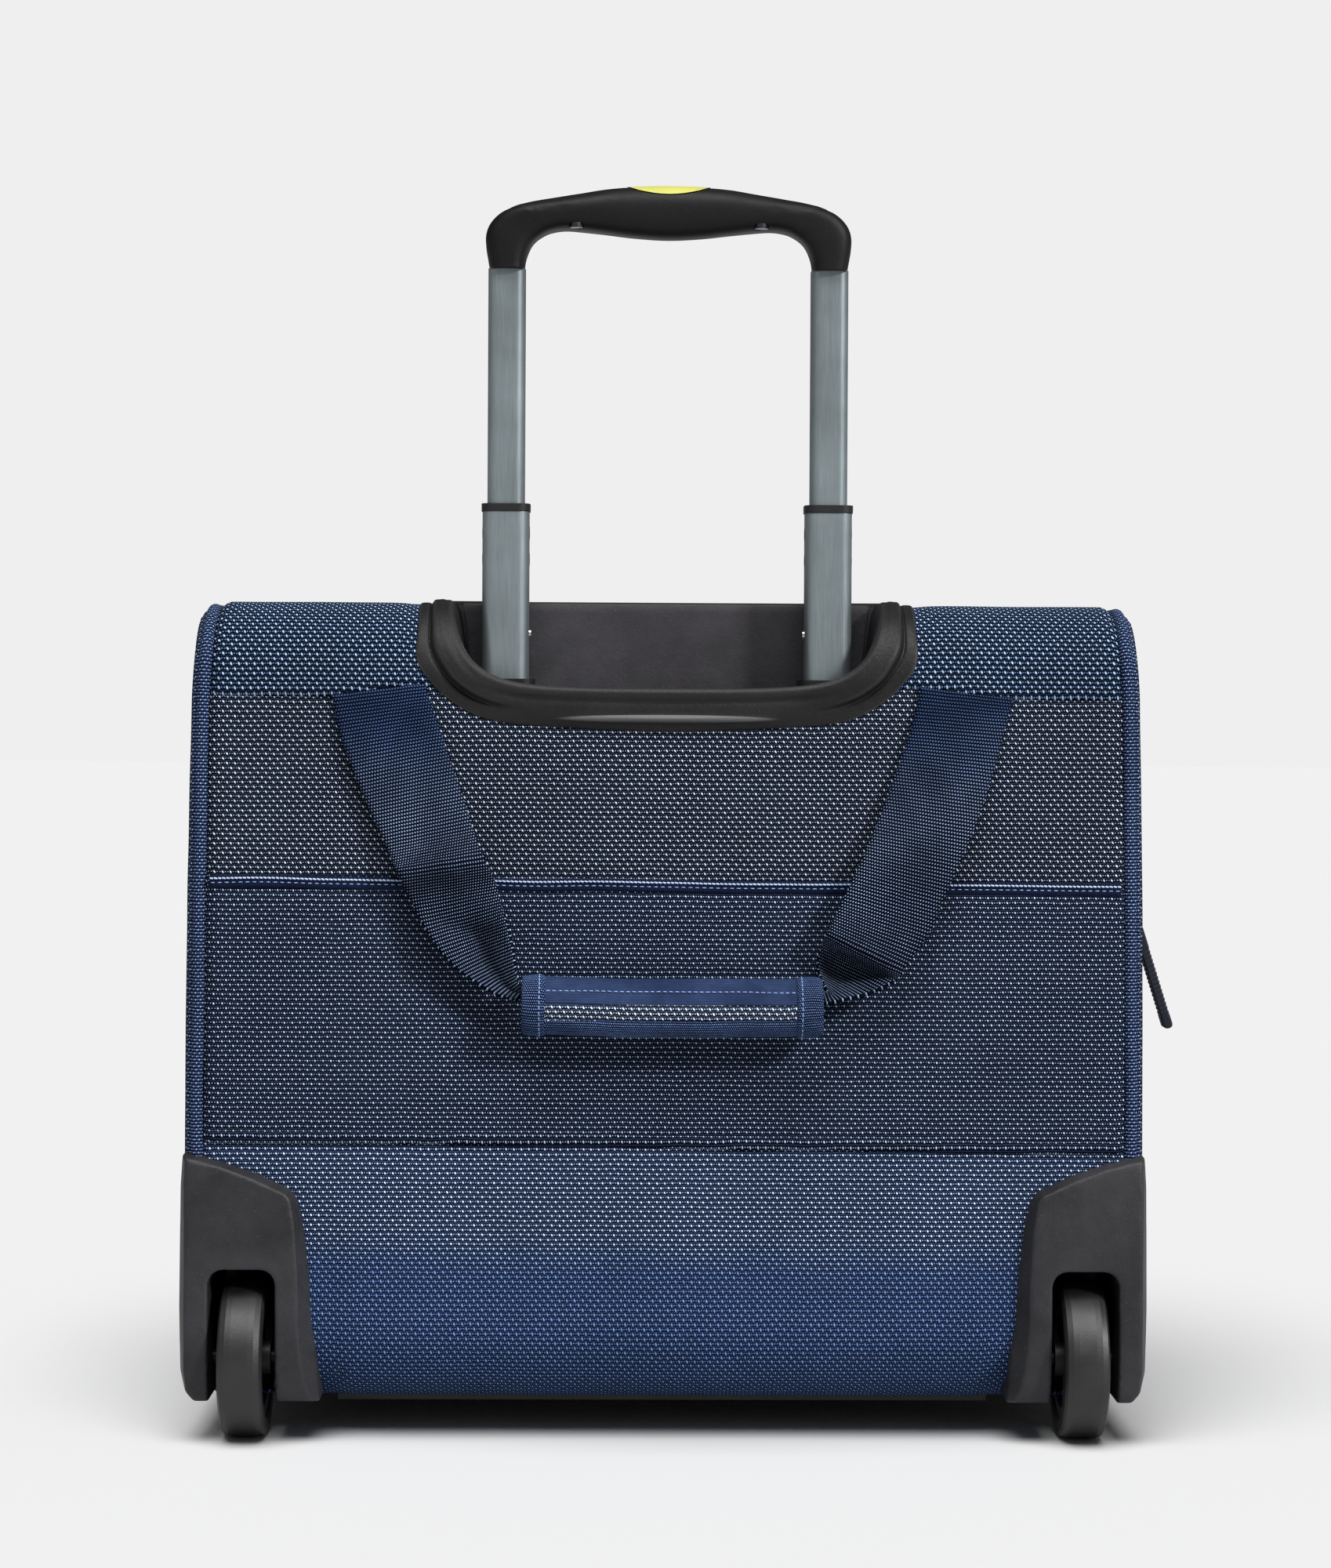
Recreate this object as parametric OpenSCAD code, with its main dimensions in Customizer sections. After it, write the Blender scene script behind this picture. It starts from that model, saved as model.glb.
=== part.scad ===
// Rolling laptop case: a soft-sided case on rear wheels, with a
// telescopic pull handle that stows in a tray at the top rear edge.
// +Z is up, -Y is the rear (wheels and pull handle), +Y is the front (lid).
// The origin is on the floor under the middle of the case.

/* [Case body] */
// Width over the side panels
body_w = 429; // [424:1:434]
// Height of the top of the case above the floor
body_top = 378; // [376:1:384]
// Height of the underside of the case above the floor
body_under = 17; // [16:1:18]
// Distance of the rear face behind the origin
rear_face = 98; // [96:1:100]
// Distance of the front edge of the rear shell ahead of the origin
shell_front = 70; // [66:1:72]
// Radius of the top rear edge
top_radius = 32; // [28:1:34]
// Radius of the bottom rear edge
under_radius = 38; // [34:1:40]
// Thickness of a padded fabric panel
panel_t = 4; // [3:0.5:5]

/* [Lid] */
// Distance of the lid's front skin ahead of the origin
lid_front = 103; // [100:1:104]
// Height of the front pocket's mouth
pocket_top = 166; // [150:1:170]

/* [Pull handle] */
// Half the distance between the two tube stacks
tube_x = 73.6; // [72:0.1:75]
// Distance of the tubes behind the origin
tube_y = 75; // [74:0.5:76]
// Wall thickness of every tube
tube_wall = 1.2; // [1:0.1:1.3]
// Width of the inner tube
inner_w = 17; // [16.5:0.1:17.5]
// Width of the middle tube
middle_w = 21.3; // [21:0.1:21.6]
// Width of the lower tube
lower_w = 26.3; // [26:0.1:26.5]
// Width of the fixed outer tube
outer_w = 30.9; // [30.7:0.1:31.2]
// How much shallower than wide a tube is
tube_flat = 3; // [2:0.5:3]
// Height of the grip's arm ends, as shown
arm_end = 532; // [530:1:540]

/* [Wheels] */
// Wheel diameter
wheel_d = 72; // [70:1:74]
// Width of a tyre
wheel_w = 20; // [18:1:22]
// Distance of a wheel's middle from the centre plane
wheel_x = 190; // [188:1:191]
// Distance of the axles behind the origin
wheel_y = 82; // [80:1:83]
// Axle radius
axle_r = 3; // [2.5:0.5:3]

/* [Carry handles] */
// Height of the seam that the handle straps come out of
strap_top = 338; // [336:1:340]
// Thickness of the webbing
web_t = 2; // [1.5:0.5:2.5]

/* [Hidden] */
$fn = 48;
navy = [0.10, 0.16, 0.30];
web_navy = [0.09, 0.14, 0.28];
black = [0.13, 0.13, 0.135];
gunmetal = [0.40, 0.43, 0.43];
yr = -rear_face;
yt = -tube_y;
hx = body_w / 2;
in_x = hx - 8.5;          // half width of the rear and front skins
pipe_x = hx - 5.3;        // where the piping cords lie
tray_floor = 339;
laptop_zip_y = -44;
mid_top = 421.5;
axle_z = wheel_d / 2;
wall_gap = 0.25;          // sliding clearance in the bushes

// ---- placing helpers ----
// a flat shape in the Y-Z plane, made solid from x0 to x1
module yz(x0, x1) translate([x0, 0, 0]) rotate([90, 0, 90])
  linear_extrude(x1 - x0) children();
// a flat shape in the X-Z plane, made solid from y0 to y1
module xz(y0, y1) translate([0, y1, 0]) rotate([90, 0, 0])
  linear_extrude(y1 - y0) children();
// a rounded rectangle between two corners
module rr(x0, x1, y0, y1, r) offset(r, $fn = 32) translate([x0 + r, y0 + r])
  square([x1 - x0 - 2 * r, y1 - y0 - 2 * r]);
module rrc(w, d, r) rr(-w / 2, w / 2, -d / 2, d / 2, r);
module both() { children(); mirror([1, 0, 0]) children(); }
module at_tubes() for (s = [-1, 1]) translate([s * tube_x, yt, 0]) children();
module at_tube(s) translate([s * tube_x, yt, 0]) children();

// side view of the rear shell, grown outwards by g
module shell2d(g = 0) hull() {
  translate([yr + top_radius, body_top - top_radius]) circle(top_radius + g, $fn = 96);
  translate([yr + under_radius, body_under + under_radius]) circle(under_radius + g, $fn = 96);
  translate([shell_front - 10, body_under - g]) square([10 + g, 10]);
  translate([shell_front - 10, body_top - 10 + g]) square([10 + g, 10]);
}
module skin2d(g = 0, t = panel_t) difference() {
  shell2d(g);
  shell2d(g - t);
  translate([0, body_under - g + t])
    square([shell_front + g + 5, body_top - body_under + 2 * g - 2 * t]);
}

// ---- wheel housing outlines ----
house_front = [[155, 18.5], [158, 56], [159.2, 76], [162, 99], [165.5, 112],
  [168.5, 115.5], [184, 122.5], [199, 127.5], [211, 130], [217.4, 130.5],
  [218.3, 116], [218.8, 61], [218.2, 33], [216, 23], [212, 18.5]];
house_side = [[-100, 17.5], [-104, 24], [-106.5, 45], [-106.5, 80], [-105, 108],
  [-101.5, 131], [-84, 130], [-62, 124], [-42, 111], [-26, 90], [-15, 62],
  [-9, 34], [-8, 17.5]];
// behind the side wall, a housing is only as deep as the wheel well
module house_block(g = 0) difference() {
  intersection() {
    xz(-130, 20) offset(delta = g) polygon(house_front);
    yz(140, 230) offset(delta = g) polygon(house_side);
  }
  translate([140, -wheel_y + 43.5 + g, 0]) cube([65.7 - g, 60, 200]);
}
module house_cuts() both() for (z = [0, -5]) translate([0, 0, z]) house_block(0.3);

// ---- handle tray outlines ----
tray_half = [[112.5, 382], [112.5, 353], [104.5, 341], [91, 330.5], [78, 326],
  [40, 323], [0, 321.6]];
mouth_half = [[94, 400], [94, 362], [90, 353], [82, 347.5], [68, 344], [40, 343.2],
  [0, 343]];
function mirrored(p) = concat(p, [for (i = [len(p) - 1:-1:0]) if (p[i][0] > 0)
  [-p[i][0], p[i][1]]]);
module tray_cut() xz(-115, -49.7) offset(delta = 0.3) polygon(mirrored(tray_half));

// ---- rear shell ----
module base_chassis() color(black) difference() {
  union() {
    translate([-hx + 5.5, -57, body_under]) cube([body_w - 11, shell_front + 56.5, 5]);
    // rear skid rail and two long skids
    translate([-150, -62, 12.5]) cube([300, 9, body_under - 12.4]);
    for (s = [-1, 1]) translate([s * 80 - 6, -53, 12.5]) cube([12, 88, body_under - 12.4]);
  }
  house_cuts();
}
module front_feet() color(black) both() yz(138, 176) polygon([[38, body_under],
  [42, 3], [44, 0], [60, 0], [63, 3], [66, body_under]]);
module lower_back_panel() color(navy) difference() {
  yz(-in_x, in_x) intersection() {
    skin2d();
    translate([yr - 5, 0]) square([40.8, 135]);
  }
  house_cuts();
}
module middle_back_panel() color(navy) difference() {
  yz(-in_x, in_x) intersection() {
    skin2d();
    translate([yr - 5, 135.2]) square([20, 116.6]);
  }
  house_cuts();
}
module upper_back_panel() color(navy) difference() {
  yz(-in_x, in_x) intersection() {
    skin2d();
    translate([yr - 5, 252]) square([20, 85.8]);
  }
  tray_cut();
}
module top_yoke() color(navy) difference() {
  yz(-in_x, in_x) intersection() {
    skin2d();
    translate([yr - 5, 338]) square([shell_front - yr + 4.7, 60]);
  }
  tray_cut();
}
module side_plate() color(navy) difference() {
  yz(hx - 5, hx) intersection() {
    shell2d(-6);
    translate([yr, 0]) square([shell_front - yr - 1, 500]);
  }
  house_block(0.3);
}
module side_panel_left() mirror([1, 0, 0]) side_plate();
module side_panel_right() side_plate();
module rear_piping() color(web_navy) both() translate([pipe_x, 0, 0]) {
  r = 2.8;
  a = top_radius - 2.9;
  cy = yr + top_radius;
  cz = body_top - top_radius;
  translate([0, cy - a, 131.5]) cylinder(r = r, h = cz - 131.5);
  translate([0, cy, cz]) rotate([0, 90, 0]) rotate([0, 0, 180])
    rotate_extrude(angle = 90) translate([a, 0]) circle(r);
  translate([0, cy, cz + a]) rotate([-90, 0, 0]) cylinder(r = r, h = 124);
}
module back_board() color([0.2, 0.2, 0.2]) difference() {
  translate([-hx + 12, yr + panel_t + 1, 60]) cube([body_w - 24, 2, 260]);
  house_cuts();
}
module inner_back_wall() color([0.25, 0.26, 0.28]) difference() {
  translate([-hx + 5.5, -56, 22.2]) cube([body_w - 11, 4, 308]);
  house_cuts();
}
module laptop_sleeve() color([0.30, 0.31, 0.33]) difference() {
  translate([-194, -38, 26]) cube([388, 28, 264]);
  translate([-190, -38.5, 30]) cube([380, 24.5, 300]);
}
module zip_u(y0, y1, z0, x, top) xz(y0, y1) difference() {
  rr(-x - 1, x + 1, z0 - 60, top + 1, 6);
  rr(-x, x, z0 - 60, top, 5);
  translate([-300, z0 - 70]) square([600, 70]);
}
// tape round the mouth of the shell, and the laptop compartment's own zip
module case_zip_tapes() color([0.08, 0.09, 0.12]) {
  zip_u(shell_front - 9.3, shell_front - 0.2, 46, hx, body_top);
  zip_u(laptop_zip_y - 4.8, laptop_zip_y + 4.8, 190, hx, body_top);
}
module lid_hinge_strip() color(web_navy)
  translate([-190, shell_front, body_under + 0.2]) cube([380, 29, 1.4]);

// ---- handle tray ----
module handle_tray() color(black) difference() {
  intersection() {
    xz(-112, -50) polygon(mirrored(tray_half));
    union() {
      yz(-113, 113) skin2d(2.6, 6.6);
      translate([-98, -96, tray_floor - 4]) cube([196, 42, body_top - tray_floor + 4]);
    }
  }
  xz(-120, -58) polygon(mirrored(mouth_half));
  translate([-90, -92, tray_floor]) cube([180, 34, 20]);
  for (s = [-1, 1]) translate([s * tube_x, yt, 300]) linear_extrude(60)
    rrc(outer_w + 0.6, outer_w - tube_flat + 0.6, 7);
}

// ---- tubes ----
module tube(w, r, z0, z1) translate([0, 0, z0]) linear_extrude(z1 - z0) difference() {
  rrc(w, w - tube_flat, r);
  rrc(w - 2 * tube_wall, w - tube_flat - 2 * tube_wall, r - tube_wall);
}
module outer_tube_1() color(gunmetal) tube(outer_w, 7, 38.2, 336);
module outer_tube_left() at_tube(-1) outer_tube_1();
module outer_tube_right() at_tube(1) outer_tube_1();
// guide bush in the mouth of an outer tube
module outer_bushes() color(black) at_tubes() translate([0, 0, 322]) linear_extrude(19)
  difference() {
    rrc(outer_w - 2 * tube_wall - 0.1, outer_w - tube_flat - 2 * tube_wall - 0.1, 5.7);
    rrc(lower_w + 2 * wall_gap, lower_w - tube_flat + 2 * wall_gap, 5.2);
  }
module tube_foot_bracket() color(black) difference() {
  translate([-96, -90, 22.2]) cube([192, 30, 32]);
  at_tubes() {
    translate([0, 0, 38.2]) linear_extrude(30) rrc(outer_w + 0.1, outer_w - tube_flat + 0.1, 7.05);
    translate([0, 0, 30]) linear_extrude(20)
      rrc(outer_w - 2 * tube_wall, outer_w - tube_flat - 2 * tube_wall, 5.8);
  }
  translate([-48, -86, 26]) cube([96, 22, 40]);
  // the rear panel curves in under the case here
  yz(-100, 100) difference() { translate([-120, 0]) square([60, 60]); shell2d(-4.4); }
}
lower_top = 341.5;
module lower_tube_1() color(gunmetal) tube(lower_w, 5.5, 40, lower_top);
module lower_tube_left() at_tube(-1) lower_tube_1();
module lower_tube_right() at_tube(1) lower_tube_1();
// collar in the mouth of a lower tube, with a notch that lets the stop pin by
module lower_guides() color(black) at_tubes() { lower_collar(); lower_slide(); }
module lower_collar() difference() {
  union() {
    translate([0, 0, lower_top - 14]) linear_extrude(14.2)
      rrc(lower_w - 2 * tube_wall - 0.1, lower_w - tube_flat - 2 * tube_wall - 0.1, 4.3);
    translate([0, 0, lower_top + 0.2]) linear_extrude(3.6) rrc(lower_w + 0.8, lower_w - tube_flat + 0.8, 5.8);
  }
  translate([0, 0, 300]) linear_extrude(60) {
    rrc(middle_w + 2 * wall_gap, middle_w - tube_flat + 2 * wall_gap, 4.9);
    square([2 * (middle_w / 2 + 1.3), 5.6], center = true);
  }
}
// plastic slide on the foot of a lower tube
module lower_slide() translate([0, 0, 36.2]) linear_extrude(3.7) difference() {
  rrc(outer_w - 2 * tube_wall - 2 * wall_gap, outer_w - tube_flat - 2 * tube_wall - 2 * wall_gap, 5.5);
  rrc(16, 13, 3);
}
module middle_tube_1(s) color(gunmetal) difference() {
  tube(middle_w, 5, 122, mid_top);
  for (z = [400, 412]) translate([0, 0, z]) rotate([0, 90, 0]) cylinder(r = 3, h = 40, center = true);
  translate([0, 0, 366]) rotate([0, -90 * s, 0]) cylinder(r = 2.15, h = 20);
}
module middle_tube_left() at_tube(-1) middle_tube_1(-1);
module middle_tube_right() at_tube(1) middle_tube_1(1);
// collar in the mouth of a middle tube, held by two round snap tabs a side
module middle_guides() color(black) at_tubes() { middle_collar(); middle_slide(); }
module middle_collar() difference() {
  union() {
    translate([0, 0, mid_top - 27]) linear_extrude(27.1)
      rrc(middle_w - 2 * tube_wall - 0.1, middle_w - tube_flat - 2 * tube_wall - 0.1, 3.8);
    for (z = [400, 412]) translate([0, 0, z]) rotate([0, 90, 0])
      cylinder(r = 2.9, h = middle_w + 0.3, center = true);
    translate([0, 0, mid_top + 0.1]) linear_extrude(3.4) rrc(middle_w + 0.9, middle_w - tube_flat + 0.9, 5.3);
  }
  translate([0, 0, 380]) linear_extrude(60)
    rrc(inner_w + 2 * wall_gap, inner_w - tube_flat + 2 * wall_gap, 4.6);
}
module middle_slide() translate([0, 0, 116]) linear_extrude(5.9) difference() {
  rrc(lower_w - 2 * tube_wall - 2 * wall_gap, lower_w - tube_flat - 2 * tube_wall - 2 * wall_gap, 4.2);
  rrc(12, 9, 3);
}
// bright pins in the facing sides of the middle tubes, which stop the inner tubes
module stop_pins() color([0.8, 0.8, 0.82]) for (s = [-1, 1]) translate([s * tube_x, yt, 366])
  rotate([0, -90 * s, 0]) {
    translate([0, 0, middle_w / 2 - 1.5]) cylinder(r = 2.1, h = 2.4);
  }
module inner_tube_1() color(gunmetal) tube(inner_w, 4.2, 356, arm_end);
module inner_tube_left() at_tube(-1) inner_tube_1();
module inner_tube_right() at_tube(1) inner_tube_1();
// block in the foot of an inner tube; the push rod reaches into its bore
module lock_blocks() color(black) at_tubes() difference() {
  union() {
    translate([0, 0, 356]) linear_extrude(30) rrc(inner_w - 2 * tube_wall - 0.1, inner_w - tube_flat - 2 * tube_wall - 0.1, 3);
    translate([0, 0, 346]) linear_extrude(10.1)
      rrc(middle_w - 2 * tube_wall - 2 * wall_gap, middle_w - tube_flat - 2 * tube_wall - 2 * wall_gap, 3.6);
  }
  translate([0, 0, 366]) cylinder(r = 1.8, h = 30);
}

// ---- grip ----
grip_half = [[0, 570], [12, 569.8], [22, 569.2], [40, 566.6], [55, 564], [62, 562.6],
  [70, 560.3], [76.5, 557], [81, 552.3], [83.2, 547], [83.2, 541], [82.2, 535],
  [81.6, 532], [65.6, 532], [65.1, 536], [63.2, 541.5], [59, 546.4], [53, 549.3],
  [46, 550], [30, 548.6], [15, 546.8], [0, 546]];
function mirrored_loop(p) = concat(p, [for (i = [len(p) - 2:-1:1]) [-p[i][0], p[i][1]]]);
grip_d = 25;
part_z = 559;
button_half = [[0, 570.3], [12, 570.1], [19.5, 569.6], [14, 567.2], [7, 565.7], [0, 565.2]];
// the button's recess leaves room for its travel
recess_half = [[0, 580], [19.85, 580], [19.85, 567.5], [14.2, 565.1], [7.1, 563.55], [0, 563.05]];
module grip_body() translate([0, 0, 0]) intersection() {
  xz(yt - grip_d / 2, yt + grip_d / 2) polygon(mirrored_loop(grip_half));
  union() {
    yz(-66, 66) hull() {
      translate([yt - 7.5, 551]) circle(5);
      translate([yt + 7.5, 551]) circle(5);
      translate([yt - 4.5, 562.2]) circle(8);
      translate([yt + 4.5, 562.2]) circle(8);
    }
    both() yz(65, 85) rr(yt - 10.5, yt + 10.5, 530, 590, 5);
    both() translate([tube_x, yt, 525]) linear_extrude(60) rrc(19.6, 22, 5);
  }
}
module grip_hollow() {
  translate([-58, yt - 4, 551.2]) cube([116, 8, 9.8]);
  translate([-76, yt - 4, 551.2]) cube([152, 8, 5.1]);
  at_tubes() translate([0, 0, 500]) cylinder(r = 2.5, h = 54);
  translate([0, yt, 548.6]) cylinder(r = 4.3, h = 6);
  for (s = [-1, 1]) translate([s * 42, yt - 8, 540]) {
    cylinder(r = 3.4, h = 12.4);
    cylinder(r = 1.55, h = 23);
  }
}
module grip_lower_shell() color(black) difference() {
  union() {
    intersection() { grip_body(); translate([-100, yt - 20, 500]) cube([200, 40, part_z - 500]); }
    at_tubes() translate([0, 0, arm_end - 22]) linear_extrude(22.2)
      rrc(inner_w - 2 * tube_wall - 0.1, inner_w - tube_flat - 2 * tube_wall - 0.1, 3);
  }
  grip_hollow();
}
module grip_upper_shell() color(black) difference() {
  intersection() { grip_body(); translate([-100, yt - 20, part_z]) cube([200, 40, 40]); }
  grip_hollow();
  xz(yt - 20, yt + 20) polygon(mirrored_loop(recess_half));
  translate([-5, yt - 3.5, 550]) cube([10, 7, 20]);
}
module grip_screws() color([0.3, 0.3, 0.32]) for (s = [-1, 1]) translate([s * 42, yt - 8, 0]) {
  translate([0, 0, 552.4 - 2.2]) cylinder(r = 3, h = 2.2);
  translate([0, 0, 552.3]) cylinder(r = 1.5, h = 10.4);
}
module release_button() color([0.93, 0.92, 0.35]) {
  intersection() {
    xz(yt - 11.4, yt + 11.4) polygon(mirrored_loop(button_half));
    yz(-30, 30) hull() {
      translate([yt - 4.5, 562.6]) circle(8);
      translate([yt + 4.5, 562.6]) circle(8);
    }
  }
  translate([-4, yt - 3, 556]) cube([8, 6, 10]);
}
module release_yoke() color([0.5, 0.5, 0.5]) difference() {
  translate([-75.5, yt - 2.5, 554]) cube([151, 5, 2]);
  at_tubes() translate([0, 0, 550]) cylinder(r = 1.5, h = 10);
}
module push_rods() color([0.7, 0.7, 0.7]) at_tubes() translate([0, 0, 372]) cylinder(r = 1.5, h = 184);
// return spring: a round wire wound up a helix
spring_z0 = 548.7;
spring_h = 5.2;
spring_turns = 3.5;
spring_steps = 16;
function helix(a, u) = let (r = 2.9 + 0.4 * cos(u))
  [r * cos(a), r * sin(a) + yt, spring_z0 + 0.45 + (spring_h - 0.9) * a / (360 * spring_turns) + 0.4 * sin(u)];
module button_spring() color([0.75, 0.75, 0.75]) {
  n = spring_turns * spring_steps;
  pts = [for (i = [0:n], j = [0:5]) helix(i * 360 / spring_steps, j * 60)];
  walls = [for (i = [0:n - 1], j = [0:5], t = [0, 1]) t == 0
    ? [i * 6 + j, (i + 1) * 6 + j, i * 6 + (j + 1) % 6]
    : [i * 6 + (j + 1) % 6, (i + 1) * 6 + j, (i + 1) * 6 + (j + 1) % 6]];
  polyhedron(pts, concat(walls, [[for (j = [0:5]) j], [for (j = [5:-1:0]) n * 6 + j]]));
}

// ---- wheels ----
module wheel_well() xz(-130, -wheel_y + 40) rr(wheel_x - 15, wheel_x + 15, -30, 79, 7);
module house_1() color(black) difference() {
  house_block();
  wheel_well();
  // hollow behind the outer walls, open towards the front
  difference() {
    intersection() {
      xz(-130, 20) offset(delta = -3.5) polygon(house_front);
      yz(140, 230) union() {
        offset(delta = -3.5) polygon(house_side);
        translate([8, 0]) offset(delta = -3.5) polygon(house_side);
      }
    }
    xz(-131, -wheel_y + 43.5) rr(wheel_x - 18.5, wheel_x + 18.5, -40, 82.5, 9);
    for (s = [-1, 1]) translate([wheel_x + s * 21, -wheel_y, axle_z]) rotate([0, 90, 0])
      cylinder(r = 9, h = 10, center = true);
  }
  translate([wheel_x, -wheel_y, axle_z]) rotate([0, 90, 0]) cylinder(r = axle_r + 0.05, h = 50, center = true);
  // screw recesses in the underside
  for (y = [-92, -62]) translate([165, y, 15]) cylinder(r = 2.9, h = 5.2);
}
module wheel_housing_left() mirror([1, 0, 0]) house_1();
module wheel_housing_right() house_1();
module wheel_axles() color([0.75, 0.75, 0.77]) both() translate([wheel_x, -wheel_y, axle_z])
  rotate([0, 90, 0]) cylinder(r = axle_r, h = 48, center = true);
// screws that hold the housings from below
module housing_screws() color([0.25, 0.25, 0.26]) both() for (y = [-92, -62])
  translate([165, y, 18.8]) cylinder(r = 2.8, h = 1.4);
module hub_1(s) color([0.22, 0.22, 0.23]) translate([s * wheel_x, -wheel_y, axle_z]) rotate([0, 90, 0])
  difference() {
    union() {
      difference() { cylinder(r = 27.4, h = 17, center = true); cylinder(r = 22.5, h = 30, center = true); }
      cylinder(r = 8, h = 23, center = true);
      cylinder(r = 24, h = 4, center = true);
      for (i = [0:5]) rotate([0, 0, i * 60]) translate([6, -1.5, -7]) cube([18, 3, 14]);
    }
    cylinder(r = axle_r + 0.06, h = 40, center = true);
  }
module hub_left() hub_1(-1);
module hub_right() hub_1(1);
module tyre_1(s) color([0.16, 0.16, 0.16]) translate([s * wheel_x, -wheel_y, axle_z]) rotate([0, 90, 0])
  rotate_extrude($fn = 96) polygon([[27.4, -wheel_w / 2 + 1], [28.5, -wheel_w / 2], [33, -wheel_w / 2],
    [35, -wheel_w / 2 + 1], [35.8, -wheel_w / 2 + 3.5], [36, -4], [36, 4], [35.8, wheel_w / 2 - 3.5],
    [35, wheel_w / 2 - 1], [33, wheel_w / 2], [28.5, wheel_w / 2], [27.4, wheel_w / 2 - 1]]
    * (wheel_d / 72));
module tyre_left() tyre_1(-1);
module tyre_right() tyre_1(1);

// ---- carry handles ----
// straps seen from behind: they come out of the seam wide apart and run in to the grip
strap_loop = [[-151, 338], [-147.5, 320], [-136, 289], [-121.5, 257], [-109.5, 233],
  [-94, 212], [-80, 199], [-67, 193], [73, 193], [88, 198], [106, 210], [119, 229],
  [129, 252], [144, 289], [156, 330], [158, 338], [117, 338], [108.5, 313], [97.5, 282],
  [86, 255], [76, 228], [73, 205], [-67, 205], [-70, 232], [-75.5, 249], [-80, 262],
  [-89, 275], [-99, 309], [-110, 338]];
// a handle hung from a line at y = 0, its face leaning out towards -Y by a few degrees
module lean(a) translate([0, 0, strap_top]) rotate([-a, 0, 0]) translate([0, 0, -strap_top]) children();
module straps() xz(-web_t / 2, web_t / 2) polygon(strap_loop);
module wrap_body(x0, x1, d) difference() {
  yz(x0, x1) hull() {
    translate([-d / 2 + 6, 189]) circle(6);
    translate([d / 2 - 6, 189]) circle(6);
    translate([-d / 2 + 7, 203]) circle(6);
    translate([d / 2 - 7, 203]) circle(6);
  }
  translate([x0 - 1, -web_t / 2 - 0.1, 192.8]) cube([x1 - x0 + 2, web_t + 0.2, 17]);
}
rear_pivot_y = yr - 3;
front_pivot_y = lid_front + 6;
module rear_place() translate([0, rear_pivot_y, 0]) lean(6) children();
module front_place() translate([0, front_pivot_y, 0]) mirror([0, 1, 0]) lean(4) children();
module rear_handle_webbing() color(web_navy) rear_place() straps();
module rear_handle_wrap() color(navy) rear_place() wrap_body(-68, 74, 18);
module front_handle_webbing() color(web_navy) front_place() straps();
module front_handle_pad() color(navy) front_place() wrap_body(-68, 74, 15);

// ---- lid ----
lid_back = shell_front + 0.5;
lid_low = 22;
module lid_shell() color(navy) {
  // walls round the edge
  xz(lid_back, lid_front - 6) difference() {
    rr(-hx, hx, lid_low, body_top, 9);
    rr(-hx + 5, hx - 5, lid_low + 3, body_top - 4, 5);
  }
  // padded back
  xz(lid_back + 4, lid_back + 8) rr(-hx + 4, hx - 4, lid_low + 2, body_top - 3, 6);
}
module lid_front_yoke() color(navy) xz(lid_front - 4, lid_front) intersection() {
  translate([-in_x, pocket_top + 1.5]) square([2 * in_x, body_top - pocket_top]);
  rr(-in_x, in_x, 60, body_top - 6.2, 12);
}
module lid_piping() color(web_navy) {
  r = 2.8;
  y = lid_front - 2.9;
  zt = body_top - 2.9;
  c = 9;
  both() translate([pipe_x, y, lid_low + 4]) cylinder(r = r, h = zt - c - lid_low - 4);
  both() translate([pipe_x - c, y, zt - c]) rotate([90, 0, 0]) rotate_extrude(angle = 90) translate([c, 0]) circle(r);
  translate([-pipe_x + c, y, zt]) rotate([0, 90, 0]) cylinder(r = r, h = 2 * pipe_x - 2 * c);
}
module zip_tape_lid() color([0.08, 0.09, 0.12]) zip_u(lid_back + 0.2, lid_back + 9, 46, hx, body_top);
module pocket_panel() color(navy) {
  xz(lid_front - 4, lid_front) translate([-in_x + 0.6, 30]) square([2 * in_x - 1.2, pocket_top - 30]);
}
module pocket_zip() color([0.08, 0.09, 0.12])
  translate([-188, lid_front + 0.1, pocket_top + 2]) cube([376, 1.2, 11]);
pz = pocket_top + 6.5;
// a zip slider lying on the plane x = 0 with its chain along Z
module slider(w, h) {
  translate([0, -w / 2, -h / 2]) cube([1.6, w, h]);
  for (s = [-1, 1]) translate([1.5, s * 2.9 - 0.9, -2]) cube([3, 1.8, 4]);
  translate([3.6, 3.8, 0]) rotate([90, 0, 0]) cylinder(r = 0.9, h = 7.6);
}
// a pull tab of length l and width w, hanging from the slider's pin at its origin
module puller(l, w, t) difference() {
  union() {
    translate([0, 1.8, 0]) rotate([90, 0, 0]) cylinder(r = 1.7, h = 3.6);
    translate([-0.9, -1.8, -8]) cube([1.8, 3.6, 8]);
    translate([-t / 2, w / 2, -l]) rotate([90, 0, 0]) linear_extrude(w) rr(0, t, 0, l - 6, t / 2 - 0.4);
  }
  translate([0, 6, 0]) rotate([90, 0, 0]) cylinder(r = 0.96, h = 12);
}
pz_place_y = lid_front + 1.6;
module pocket_slider() color([0.2, 0.2, 0.22])
  translate([176, pz_place_y, pz]) rotate([0, 90, 0]) rotate([0, 0, 90]) slider(9, 12);
module pocket_puller() color(web_navy)
  translate([176, pz_place_y + 3.6, pz]) rotate([0, 90, 0]) rotate([0, 0, 90]) puller(36, 7, 2.4);

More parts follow.
